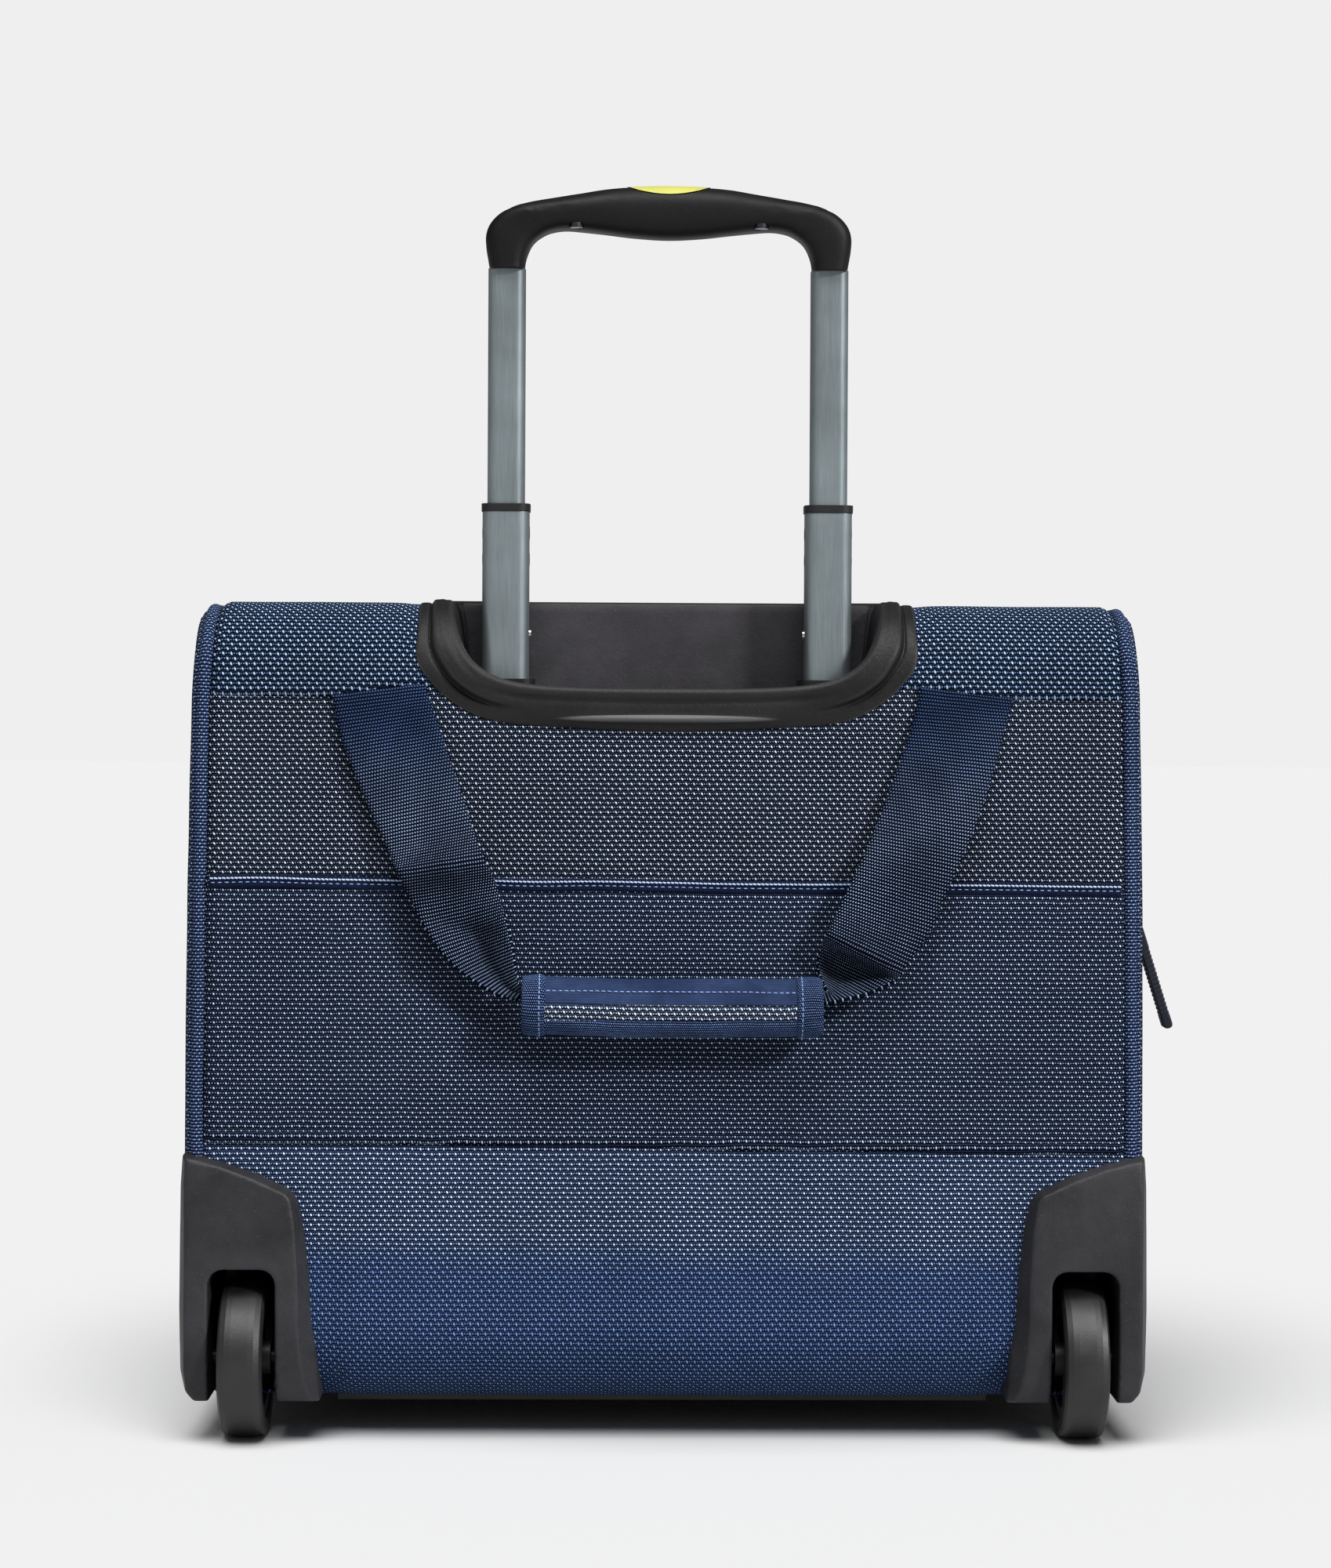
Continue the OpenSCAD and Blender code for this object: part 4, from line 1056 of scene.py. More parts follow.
def side_cloth(side):
    zs = np.r_[20.2, 21.5, 24, np.arange(27, 364, 3.4), 366, 369, 371.5, 373.5, 374.8]
    ts = np.r_[0, 0.008, 0.022, 0.045, np.linspace(0.07, 0.93, 38), 0.955, 0.98, 1.0]
    Z = np.broadcast_to(zs[:, None], (len(zs), len(ts)))
    y0 = y_rear(zs)[:, None]
    Y = y0 + (66.5 - y0) * ts[None]
    d = np.minimum(np.minimum(Y - y0, 66.5 - Y), np.minimum(Z - 20.2, 374.8 - Z))
    roll = -2.6 * (1 - np.clip(d / 6, 0, 1)) ** 2
    puff = 1.5 * np.sin(PI * np.clip((Z - 20) / 355, 0, 1)) * np.sin(PI * np.clip((Y - y0) / (66.5 - y0), 0, 1))
    soft = 0.5 * wav(Y + 40 * side, Z, 48, 15) + 0.25 * wav(Y, Z + 30 * side, 22, 16)
    low = sstep(Z, 128, 150)
    zipdip = -0.9 * np.exp(-((Y + 44) / 7.0) ** 2) * sstep(Z, 180, 192)
    flat = 1 - np.exp(-((Y + 44) / 9.0) ** 4) * sstep(Z, 176, 192)
    g = roll + (puff + soft * np.clip(d / 12, 0, 1)) * (0.25 + 0.75 * low) * flat + zipdip * 0.3 * np.clip(d / 8, 0, 1)
    Xs = side * (HX + wide(Z) + g)
    P = np.stack([Xs, Y, Z], -1)
    hit = inside(HOUSE_SIDE + [[0, 0]], Y, Z) & (Z < 122) & (Y < -14)
    k = hit[:-1, :-1] & hit[1:, :-1] & hit[:-1, 1:] & hit[1:, 1:]
    inner = inside(np.array([[y, z - 5] for y, z in HOUSE_SIDE]) * [0.96, 1.0] + [[-4, 0]], Y, Z)
    kk = inner[:-1, :-1] & inner[1:, :-1] & inner[:-1, 1:] & inner[1:, 1:]
    m = Mesh()
    m.grid(P, np.stack([Y, Z], -1), flip=side > 0, skip=k & kk)
    name = "right" if side > 0 else "left"
    ob = m.make("side_cloth_" + name, "weave", None, ["side_panel_" + name])
    thicken(ob, 1.3, 1.0, lined=1)
    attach(ob, "case")
    return ob


for side in (-1, 1):
    side_cloth(side)
    # the side cloth's lower edge is bound and turned under onto the base
    ys = np.linspace(-16, 66, 60)
    path = np.stack([np.full(60, side * 208.4) + 0.15 * wav(ys, side, 12, 17), ys, np.full(60, 19.3)], 1)
    m = Mesh()
    sweep(m, path, superellipse(5.4, 1.5, 28, 3.0), (0, 0, 1))
    m.make("side_turn_" + ("right" if side > 0 else "left"), "binding", "case", smooth=True)


# ======================================================================
# handle tray
# ======================================================================
def tray():
    n = 168
    O, C, M = full_loop(TRAY_O, n), full_loop(TRAY_C, n), full_loop(TRAY_M, n)
    F = full_loop(TRAY_F, n)
    crest = full_loop([(6.0,), (6.0,), (6.0,), (5.9,), (5.7,), (5.4,), (5.0,), (4.4,), (3.6,), (3.3,), (3.2,), (3.2,), (3.2,)], n)[:, 0]
    face = full_loop([(5.2,), (5.1,), (4.6,), (4.1,), (3.6,), (3.3,), (3.1,), (3.0,), (2.8,), (2.6,), (2.5,), (2.5,), (2.5,)], n)[:, 0]
    out = unit(O - full_loop(TRAY_C, n))

    def ring(xsv, g):
        return on_tray(xsv[:, 0], xsv[:, 1], g)

    def on_tray(x, s, g):
        y, z, _, _ = prof(s, g)
        return np.stack([x, y, z], -1)

    R = []
    R.append(ring(O - out * 0.6, np.full(n, -1.6)))
    R.append(ring(O + out * 0.2, np.full(n, 0.0)))
    R.append(ring(O + out * 0.25, np.full(n, 1.3)))
    R.append(ring(O - out * 0.1, np.full(n, 2.1)))
    fw = sstep(np.abs(O[:, 0]), 62, 98)
    sm = lambda t, a, b: float(sstep(t, a, b))
    for t in (0.05, 0.11, 0.18, 0.26, 0.33, 0.37, 0.40, 0.43, 0.47, 0.52, 0.58, 0.66, 0.74, 0.80, 0.86, 0.91, 0.955):
        A = O + (C - O) * t
        low = 2.2 + (face - 2.2) * math.sin(min(t / 0.6, 1) * PI / 2)
        low = low + (crest - face) * sm(t, 0.78, 0.97) - 0.5 * math.exp(-((t - 0.78) / 0.05) ** 2)
        side_ = 2.2 + 0.2 * math.sin(PI * t / 0.4) - 0.75 * math.exp(-((t - 0.40) / 0.03) ** 2) + (crest + 0.6 - 2.4) * sm(t, 0.41, 0.56) - 0.6 * sm(t, 0.8, 1.0)
        lens = 2.0 * np.exp(-np.abs((A[:, 1] - 326.9) / 1.7) ** 1.5) * np.clip(1 - (A[:, 0] / 53) ** 2, 0, 1) ** 0.6
        R.append(ring(A, low * (1 - fw) + side_ * fw + lens))
    R.append(ring(C, crest))
    R.append(ring(C + (M - C) * 0.35, crest + 0.05))
    R.append(ring(C + (M - C) * 0.75, crest - 0.6))
    top = ring(M, crest - 1.7)
    R.append(top)
    inner = len(R) - 1
    floor_ring = np.stack([F[:, 0], F[:, 1], np.full(n, 339.0)], 1)
    for t, drop in ((0.08, 0.0), (0.2, 0.0), (0.45, 0.0), (0.7, 0.0), (0.9, 0.0)):
        q = top + (floor_ring - top) * np.array([t**0.55, t**0.55, t])
        R.append(q)
    R.append(floor_ring + [0, 0, 1.0])
    R.append(floor_ring * [0.985, 1, 1] + [0, 0, 0.15])
    m = Mesh()
    P = np.stack(R)
    m.grid(P, None, cv=True)
    ob = m.make("tray_rim", ["plastic_tray", "plastic_tray_lit"], None, ["handle_tray"], clean="normals")
    # inner faces turned towards the rear take a lighter copy of the plastic: painted light where the light reaches the
    # back wall
    for f in ob.data.polygons:
        if f.index >= inner * n and f.normal.y < -0.3:
            f.material_index = 1
    thicken(ob, 1.6)
    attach(ob, "case")
    # floor plate with a hole for each tube
    outer = [(x, y) for x, y in full_loop(TRAY_F, 96) * [0.99, 1.0]]
    holes = []
    for sx in (-1, 1):
        a = superellipse((30.9 + 0.6) / 2, (27.9 + 0.6) / 2, 40, 4.2)
        holes.append([(sx * 73.6 + u, -75 + v) for u, v in a])
    plate("tray_floor", outer, holes, 339.0, 2.0, "plastic_tray", "case")


def plate(name, outer, holes, z, thick, mat, body):
    pts, edges = [], []
    for loop in [outer] + holes:
        b = len(pts)
        pts += [Vector(p) for p in loop]
        edges += [(b + i, b + (i + 1) % len(loop)) for i in range(len(loop))]
    rows = [list(range(len(outer)))]
    V, E, F, *_ = delaunay_2d_cdt(pts, edges, [], 0, 1e-5)
    keep = []
    for f in F:
        c = sum((V[i] for i in f), Vector((0, 0))) / len(f)
        if inside(np.array([tuple(p) for p in outer]), c.x, c.y) and not any(inside(np.array(h), c.x, c.y) for h in holes):
            keep.append(f)
    m = Mesh()
    m.faces(np.array([[v.x, v.y, z] for v in V]), keep)
    ob = m.make(name, mat, None, clean="normals", smooth=False)
    thicken(ob, thick, -1.0)
    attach(ob, body)
    return ob


# the tray's plastic paints highlights: the light lens patch on its lower lip and fully lightened crest edges
MAT["plastic_tray"] = material("plastic_tray", grained(srgb(15, 15, 16), srgb(31, 31, 32), 0.00026, 1200.0, (0.44, 0.58), wear_and_highlight=1.0, lens=srgb(104, 104, 106)), Specular_IOR_Level=0.22)
# lighter copy of the tray plastic, painted light for its back wall
MAT["plastic_tray_lit"] = material("plastic_tray_lit_wall", grained(srgb(36, 35, 38), srgb(60, 58, 62), 0.00026, 1150.0, (0.56, 0.7), wear_and_highlight=0.2), Specular_IOR_Level=0.15)
MAT["plastic_grip"] = material("plastic_grip", grained(srgb(9, 9, 9), srgb(15, 15, 15), 0.00010, 1150.0, (0.46, 0.6), wear_and_highlight=0.1), Specular_IOR_Level=0.2)
tray()


# ======================================================================
# grip
# ======================================================================
def prism(pts, y0, y1, name="cutter"):
    """A closed prism of an X-Z outline between two depths."""
    P = np.asarray(pts, float)
    k = len(P)
    V = np.concatenate([np.c_[P[:, 0], np.full(k, y0), P[:, 1]], np.c_[P[:, 0], np.full(k, y1), P[:, 1]]])
    F = [list(range(k))[::-1], [k + i for i in range(k)]] + [[i, (i + 1) % k, k + (i + 1) % k, k + i] for i in range(k)]
    m = Mesh()
    m.faces(V, F)
    return m.make(name, "plastic_grip", clean="normals", smooth=False)


def grip():
    half = [((81.6, 532), (65.6, 532)), ((82.2, 535.5), (65.2, 535.5)), ((83.1, 541), (64.2, 539)), ((83.3, 547), (62.6, 542.5)),
            ((81.5, 552.2), (60.6, 545)), ((77, 557), (58, 547)), ((70, 560.6), (54.5, 548.8)), ((62, 562.8), (50, 549.8)),
            ((52, 564.6), (45, 550)), ((40, 566.6), (37, 549.3)), ((28, 568.6), (27, 548.2)), ((16, 569.6), (15, 546.8)), ((0, 570), (0, 546))]
    O = np.array([h[0] for h in half], float)
    I = np.array([h[1] for h in half], float)
    O = np.concatenate([O * [-1, 1], O[::-1][1:]])
    I = np.concatenate([I * [-1, 1], I[::-1][1:]])
    n = 150
    O, I = spline(O, n), spline(I, n)
    c, a = (O + I) / 2, (O - I) / 2
    al = np.linalg.norm(a, axis=1)
    d = a / al[:, None]
    ax = np.abs(c[:, 0])
    depth = np.interp(ax, [0, 45, 60, 70, 90], [12.3, 12.3, 11.8, 10.9, 10.5])
    m = Mesh()
    rows = []
    k = 48
    for i in range(n):
        e = np.interp(ax[i], [0, 50, 66, 90], [2.7, 2.7, 3.4, 3.8])
        s = superellipse(1.0, 1.0, k, e)
        # the upper half of the bar is rounder than the lower half
        yy = s[:, 1] * depth[i]
        if ax[i] < 60:
            yy = yy * (1 - 0.10 * np.clip(s[:, 0], 0, 1) ** 2)
        # parting line between the two shells
        along = s[:, 0] * al[i]
        zc = c[i, 1] + d[i, 1] * along
        groove = 0.32 * np.exp(-((zc - 559.0) / 0.35) ** 2)
        rr_ = np.sqrt((along) ** 2 + yy**2)
        f = 1 - groove / np.maximum(rr_, 1e-6)
        rows.append(np.stack([c[i, 0] + d[i, 0] * along * f, -75 + yy * f, c[i, 1] + d[i, 1] * along * f], 1))
    P = np.stack(rows)
    # soft lower rims of the arms
    for end in (0, n - 1):
        P[end] = P[end] * [1, 1, 1]
    first = P[0].copy(); last = P[-1].copy()
    def rim(R0):
        cx, cy = R0[:, 0].mean(), R0[:, 1].mean()
        r1 = (R0 - [cx, cy, 0]) * [0.93, 0.93, 1] + [cx, cy, -0.0]
        r1[:, 2] = 531.4
        r2 = (R0 - [cx, cy, 0]) * [0.86, 0.86, 1] + [cx, cy, 0]
        r2[:, 2] = 531.6
        r3 = r2.copy()
        r3[:, 2] = 536
        return r1, r2, r3
    a1, a2, a3 = rim(first)
    b1, b2, b3 = rim(last)
    P = np.concatenate([[a3, a2, a1], P, [b1, b2, b3]])
    base = m.grid(P, None, cv=True)
    m.face([base + j for j in range(k)][::-1])
    m.face([base + (len(P) - 1) * k + j for j in range(k)])
    ob = m.make("grip_shell", "plastic_grip", None, ["grip_lower_shell", "grip_upper_shell"], clean="normals")
    # button: the same body inside a lens-shaped outline
    lens = [(-19.5, 569.6), (-16.5, 568.3), (-13.8, 567.2), (-10.5, 566.4), (-7, 565.75), (-3.5, 565.35), (0, 565.2), (3.5, 565.35), (7, 565.75), (10.5, 566.4), (13.8, 567.2), (16.5, 568.3), (19.5, 569.6)]
    def outline(grow, drop):
        P = np.array(lens)
        P = P * [(19.5 + grow) / 19.5, 1] + [0, -drop]
        return [tuple(p) for p in P] + [(19.5 + grow, 580), (-19.5 - grow, 580)]
    but = ob.copy()
    but.data = ob.data.copy()
    but.name = "button_cap"
    bpy.context.scene.collection.objects.link(but)
    cut(but, prism(outline(0.0, 0.0), -95, -55), "INTERSECT")
    but.data.materials.clear()
    but.data.materials.append(MAT["button"])
    for v in but.data.vertices:
        v.co.z += 0.0003
    for kx in list(but.keys()):
        if kx.startswith("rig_"):
            del but[kx]
    finish_piece(but, "release", ["release_button"])
    cut(ob, prism(outline(0.35, 0.35), -95, -55))
    # screw recesses under the bar
    for sx in (-1, 1):
        mm = Mesh()
        path = np.array([[sx * 42, -83, 538.0], [sx * 42, -83, 545.0], [sx * 42, -83, 552.3]])
        sweep(mm, path, circle(3.4, 28), (0, 1, 0))
        cut(ob, mm.make("cutter", "plastic_grip", clean="normals"))
    ob.data.set_sharp_from_angle(angle=math.radians(38))
    but.data.set_sharp_from_angle(angle=math.radians(38))
    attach(ob, "inner_stage")
    # the lower edge of the button's outline, worked out here but not built into a piece
    mm = Mesh()
    xsb = np.linspace(-19, 19, 31)
    low = np.interp(xsb, [p[0] for p in lens], [p[1] for p in lens])
    return ob


grip()


# ======================================================================
# wheel housings, from the CAD solid: chamfered, then smoothed
# ======================================================================
def solid_prism(poly, axis, lo, hi):
    """A closed prism: an outline in X-Z drawn along Y, or in Y-Z drawn along X."""
    P = np.asarray(poly, float)
    k = len(P)
    def at(t):
        return np.c_[P[:, 0], np.full(k, t), P[:, 1]] if axis == "y" else np.c_[np.full(k, t), P[:, 0], P[:, 1]]
    m = Mesh()
    b = m.grid(np.stack([at(lo), at(hi)]), None, cv=True)
    m.face([b + i for i in range(k)])
    m.face([b + k + i for i in range(k)][::-1])
    return m.make("cutter", "plastic_soft", clean="normals", smooth=False)


def round_rect(x0, x1, z0, z1, r, n=8):
    pts = []
    for cx, cz, a0 in ((x1 - r, z1 - r, 0), (x0 + r, z1 - r, 90), (x0 + r, z0 + r, 180), (x1 - r, z0 + r, 270)):
        for i in range(n + 1):
            a = math.radians(a0 + 90 * i / n)
            pts.append((cx + r * math.cos(a), cz + r * math.sin(a)))
    return np.array(pts)


def housing(side):
    name = "right" if side > 0 else "left"
    base = HOUSE * [side, 1]
    inset = np.array([[7.5, 1.5], [6.6, 0], [5.6, 0], [4.8, -0.6], [3.6, -2.4], [2.6, -3.6], [1.0, -4.4], [0.2, -4.2], [-1.0, -4.0], [-3.0, -3.4], [-3.0, 0], [-3.0, 0], [-2.6, 0], [-1.6, 1.0], [-0.6, 1.6]])
    rings = []
    for y, f in ((25.0, 0.0), (-97.6, 0.0), (-98.4, 0.06), (-101.0, 0.36), (-104.0, 0.74), (-106.0, 1.0), (-108.5, 1.02)):
        q = base + inset * [side, 1] * f
        rings.append(np.c_[q[:, 0], np.full(len(q), y), q[:, 1]])
    m = Mesh()
    P = np.stack(rings)
    k = P.shape[1]
    b = m.grid(P, None, cv=True)
    m.face([b + i for i in range(k)])
    m.face([b + (len(rings) - 1) * k + i for i in range(k)][::-1])
    ob = m.make("housing_" + name, "plastic_soft", clean="normals", smooth=False)
    prof_side = spline(HOUSE_SIDE, 60)
    cut(ob, solid_prism(prof_side, "x", min(side * 140, side * 230), max(side * 140, side * 230)), "INTERSECT")
    lo, hi = sorted((side * 140, side * 205.7))
    cut(ob, solid_prism([(-38.5, -10), (30, -10), (30, 200), (-38.5, 200)], "x", lo, hi))
    lo, hi = sorted((side * 175, side * 205))
    cut(ob, solid_prism(round_rect(lo, hi, -30, 79, 7), "y", -130, -42))
    remeshed(ob, 0.85, 7, 0.5)
    ob.data.materials.clear()
    ob.data.materials.append(MAT["plastic_soft"])
    ob.data.polygons.foreach_set("use_smooth", [True] * len(ob.data.polygons))
    finish_piece(ob, "case", ["wheel_housing_" + name])
    return ob


for side in (-1, 1):
    housing(side)


# ======================================================================
# rear carry handle
# ======================================================================
STRAP_L = [((-150.8, -100.6, 337.2), (-109.3, -100.2, 342.6)), ((-146.7, -102.9, 319.8), (-103.9, -102.1, 327.4)), ((-140.2, -104.7, 302.6), (-98.5, -103.8, 311.6)),
           ((-131.9, -106.8, 283.4), (-91.6, -105.9, 292.3)), ((-125.2, -108.4, 269.2), (-86.9, -107.7, 277.5)), ((-122.0, -109.2, 262.4), (-84.2, -108.3, 270.4)), ((-119.6, -109.7, 257.3), (-81.0, -109.1, 263.4)),
           ((-115.0, -110.7, 246.7), (-76.6, -110.0, 253.9)), ((-108.3, -112.0, 234.2), (-73.7, -111.1, 243.4)), ((-101.5, -113.1, 224.1), (-70.8, -112.0, 234.7)),
           ((-93.0, -114.1, 215.1), (-68.6, -112.9, 226.0)), ((-83.2, -114.8, 208.2), (-67.3, -113.9, 216.6)), ((-74.4, -115.4, 203.4), (-66.2, -114.7, 209.7)), ((-66.5, -115.4, 201.4), (-62.5, -114.9, 206.5))]
DY_L = [(0, 0, 0, 0, 0), (-0.2, -0.8, -0.6, -0.3, 0.2), (-0.6, -1.2, -0.6, 0.2, 1.0), (0.2, 0.2, 0.4, 0.8, 1.4), (0.8, 0.6, 1.0, 1.2, 1.0), (-2.4, -2.8, -3.0, -2.8, -2.2), (-4.6, -5.8, -6.4, -6.4, -5.6),
        (-0.2, 0.0, 0.6, 0.6, 0.8), (-0.6, 3.2, 2.4, 0.6, 0.4), (-1.4, 2.4, 8.5, 3.0, -3.4), (-1.4, 4.6, 9.5, 1.4, -4.6), (-0.4, 5.0, 7.4, 0.0, -3.8), (0, 2.0, 3.4, 0.0, -1.2), (0, 0.5, 1.0, 0.5, 0)]
STRAP_R = [((114.4, -100.2, 342.2), (156.1, -100.5, 337.4)), ((111.1, -102.1, 328.5), (152.5, -102.5, 325.2)), ((106.9, -103.6, 314.4), (148.5, -104.1, 310.0)), ((101.2, -105.3, 298.5), (143.1, -106.0, 292.4)),
           ((95.9, -106.8, 284.1), (137.1, -107.6, 276.9)), ((90.2, -108.3, 270.4), (130.6, -109.2, 261.8)), ((84.2, -109.7, 257.4), (123.9, -110.8, 246.8)), ((77.8, -111.1, 244.1), (117.2, -112.4, 231.7)),
           ((73.6, -112.1, 235.5), (109.4, -113.9, 220.6)), ((71.4, -112.0, 230.8), (104.9, -115.4, 214.4)), ((70.0, -109.5, 226.6), (102.2, -117.4, 210.9)), ((68.6, -107.0, 221.0), (96.2, -118.2, 207.6)),
           ((68.4, -106.4, 214.5), (88.6, -118.2, 204.6)), ((70.6, -108.6, 208.6), (80.4, -117.8, 202.6)), ((71.6, -112.4, 205.0), (73.6, -117.2, 200.9)), ((66.0, -113.0, 204.0), (67.0, -116.6, 200.4))]
DY_R = [(0, 0, 0, 0, 0), (0.2, -0.2, -0.5, -0.4, 0), (0.6, 0, -0.6, -0.7, -0.4), (0.8, 0.2, -0.6, -1.0, -0.8), (0.6, 0, -0.8, -1.3, -1.0), (0, -0.4, -1.2, -1.4, -1.0), (-0.4, -1.0, -1.6, -1.6, -1.0), (-1.4, -2.0, -2.2, -1.8, -1.2),
        (-2.6, -3.4, -3.6, -3.0, -1.8), (-2.2, -2.8, -3.0, -2.4, -1.2), (1.0, 7.6, 9.6, 7.8, 1.2), (1.6, 9.6, 10.4, 8.0, 0.6), (1.2, 7.6, 9.0, 6.6, 0.4), (0, 3.4, 5.4, 3.4, 0.2), (0, 1.2, 2.0, 1.0, 0), (0, 0, 0, 0, 0)]


def strap_net(rows, dy, n_along=90, n_across=17, seed=0):
    A = np.array([r[0] for r in rows], float)
    B = np.array([r[1] for r in rows], float)
    D = np.array(dy, float)
    A, B, D = spline(A, n_along), spline(B, n_along), spline(D, n_along)
    c = np.linspace(0, 1, n_across)
    dd = np.stack([np.interp(c, np.linspace(0, 1, 5), d) for d in D])
    # smooth the depth across
    k = np.array([1, 2, 1]) / 4
    pad = np.pad(dd, ((0, 0), (1, 1)), mode="edge")
    dd = pad[:, :-2] * k[0] + pad[:, 1:-1] * k[1] + pad[:, 2:] * k[2]
    P = A[:, None] * (1 - c)[None, :, None] + B[:, None] * c[None, :, None]
    P[..., 1] += dd
    P[..., 1] += 0.25 * wav(P[..., 0] + seed * 50, P[..., 2], 13, 21)
    return P


def strap_uv(P):
    mid = P[:, P.shape[1] // 2]
    # use the mean row spacing so that the rows of the weave stay even
    step_len = np.linalg.norm(np.diff(P, axis=0), axis=2).mean(1)
    v = np.r_[0, np.cumsum(step_len)]
    w = np.linspace(0, 42.0, P.shape[1])
    return np.stack(np.broadcast_arrays(w[None, :], v[:, None]), -1)


def strap(name, P, body, t=1.8, mat="web"):
    m = Mesh()
    m.grid(P, strap_uv(P))
    ob = m.make(name, mat, None)
    thicken(ob, t, 0.0)
    return ob


def ordered(P):
    """Straps face the rear: check the winding by the first normals."""
    n = np.cross(P[1, 0] - P[0, 0], P[0, 1] - P[0, 0])
    return P if n[1] < 0 else P[:, ::-1]


SL = strap_net(STRAP_L, DY_L, 96, 17, 0)
SR = strap_net(STRAP_R, DY_R, 104, 17, 1)
strap_l = strap("rear_strap_left", ordered(SL), "rear_handle")
strap_r = strap("rear_strap_right", ordered(SR), "rear_handle")
for s_ in (strap_l, strap_r):
    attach(s_, "rear_handle")
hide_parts("rear_handle_webbing")


def wrap_rear():
    """Padded wrap round the straps: a closed section with a flap sewn down over the back of it."""
    sec = [(-107.4, 192), (-108.4, 188.8), (-111.5, 186.6), (-116.0, 186.0), (-120.4, 187.2), (-123.6, 189.8), (-124.9, 192.6), (-124.55, 193.6), (-125.3, 194.6),
           (-125.9, 197.2), (-125.5, 199.4), (-124.7, 200.6), (-125.1, 201.0), (-124.2, 203.2), (-121.6, 206.4), (-118.0, 209.4), (-114.0, 211.2), (-110.6, 211.3), (-108.4, 209.2), (-107.2, 205.0), (-106.9, 198.0)]
    S = spline(sec, 84, closed=True)
    c = S.mean(0)
    xs_ = np.r_[-64.5, -63.5, -61.0, -57.5, np.linspace(-54, 58, 60), 61.5, 65.5, 68.6, 70.0]
    rows = []
    for x in xs_:
        t = (x + 64.5) / 134.5
        e = min(x + 64.5, 70.0 - x)
        k = 0.90 + 0.10 * math.sqrt(min(e / 5.0, 1.0))
        q = (S - c) * [k, k] + c
        sag = -1.1 * math.sin(PI * t) + 0.6 * (1 - t)
        swell = 1 + 0.02 * math.sin(PI * t)
        q = (q - c) * swell + c
        yy = q[:, 0] + 0.22 * wav(x, q[:, 1], 11, 31) + 0.3 * wav(x, 0, 37, 32)
        zz = q[:, 1] + sag + 0.25 * wav(x, q[:, 0] + 60, 17, 33)
        rows.append(np.stack([np.full(len(S), x), yy, zz], 1))
    P = np.stack(rows)
    along = np.concatenate([S, S[:1]])
    v = np.r_[0, np.cumsum(np.linalg.norm(np.diff(along, axis=0), axis=1))]
    W = np.stack(np.broadcast_arrays(np.r_[xs_, xs_[-1]][:, None], v[None, :]), -1)[: len(xs_)]
    m = Mesh()
    n = len(S)
    b = m.grid(P, np.concatenate([W, W[-1:]]), cv=True)
    m.face([b + j for j in range(n)])
    m.face([b + (len(xs_) - 1) * n + j for j in range(n)][::-1])
    ob = m.make("rear_wrap", ["flap", "weave_wrap", "web_fine"], None, ["rear_handle_wrap"], clean="normals")
    me = ob.data
    for p in me.polygons:
        y, z = p.center.y / MM, p.center.z / MM
        if y < -119 and 193.2 < z + 0.0 < 200.2:
            p.material_index = 1
        elif z <= 193.3 and y < -109:
            p.material_index = 2
    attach(ob, "rear_handle")
    return P, S


WP, WS = wrap_rear()


def wrap_row(P, k, x0, x1):
    """The line of a wrap's section point k between two x."""
    q = P[:, k]
    keep = (q[:, 0] >= x0) & (q[:, 0] <= x1)
    return q[keep]


def nearest_k(S, y, z):
    return int(np.argmin((S[:, 0] - y) ** 2 + (S[:, 1] - z) ** 2))


m = Mesh()
k = nearest_k(WS, -120.9, 205.9)
q = wrap_row(WP, k, -54, 58)
bow = 1.3 * np.sin(np.linspace(0, PI, len(q)))
q = q + np.stack([0 * bow, -0.35 * bow, 0.5 * bow - 0.8], 1)
stitches(m, q + [0, -0.25, 0.2], (0, -0.75, 0.66), 2.7, (2.0, 0.3, 0.26), 0, lift=0.25, seed=41)
k = nearest_k(WS, -124.6, 193.6)
stitches(m, wrap_row(WP, k, -54, 58), (0, -1, -0.1), 2.2, (1.7, 0.22, 0.2), 1, lift=0.15, seed=42)
m.make("rear_wrap_stitching", ["thread", "thread_dark"], "rear_handle")


def binding_ring(name, P, x0, x1, body, grow=0.75):
    """A band of binding sewn round one end of a wrap."""
    keep = (P[:, 0, 0] >= x0) & (P[:, 0, 0] <= x1)
    Q = P[keep]
    Q = even_rows(Q, 12)
    c = Q.mean(1, keepdims=True)
    d = unit((Q - c) * [0, 1, 1])
    f = np.array([0.0, 0.8, 1.0, 1.0, 1.0, 1.0, 1.0, 1.0, 1.0, 1.0, 0.8, 0.0])[:, None, None]
    R = Q + d * (0.15 + grow * f)
    R[..., 2] += 0.15 * wav(R[..., 0], R[..., 2], 4, 51)
    m = Mesh()
    n = R.shape[1]
    per = np.concatenate([R[0], R[0][:1]])
    v = np.r_[0, np.cumsum(np.linalg.norm(np.diff(per, axis=0), axis=1))]
    W = np.stack(np.broadcast_arrays(R[:, 0, 0][:, None], v[None, :]), -1)
    b = m.grid(R, np.concatenate([W, W[-1:]]), cv=True)
    ends = [(0, 1), (len(R) - 1, -1)]
    m.face([b + j for j in range(n)])
    m.face([b + (len(R) - 1) * n + j for j in range(n)][::-1])
    ob = m.make(name, "web_fine", None, clean="normals")
    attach(ob, body)
    return R


def even_rows(Q, n):
    t = np.linspace(0, len(Q) - 1, n)
    i = np.minimum(t.astype(int), len(Q) - 2)
    f = (t - i)[:, None, None]
    return Q[i] * (1 - f) + Q[i + 1] * f


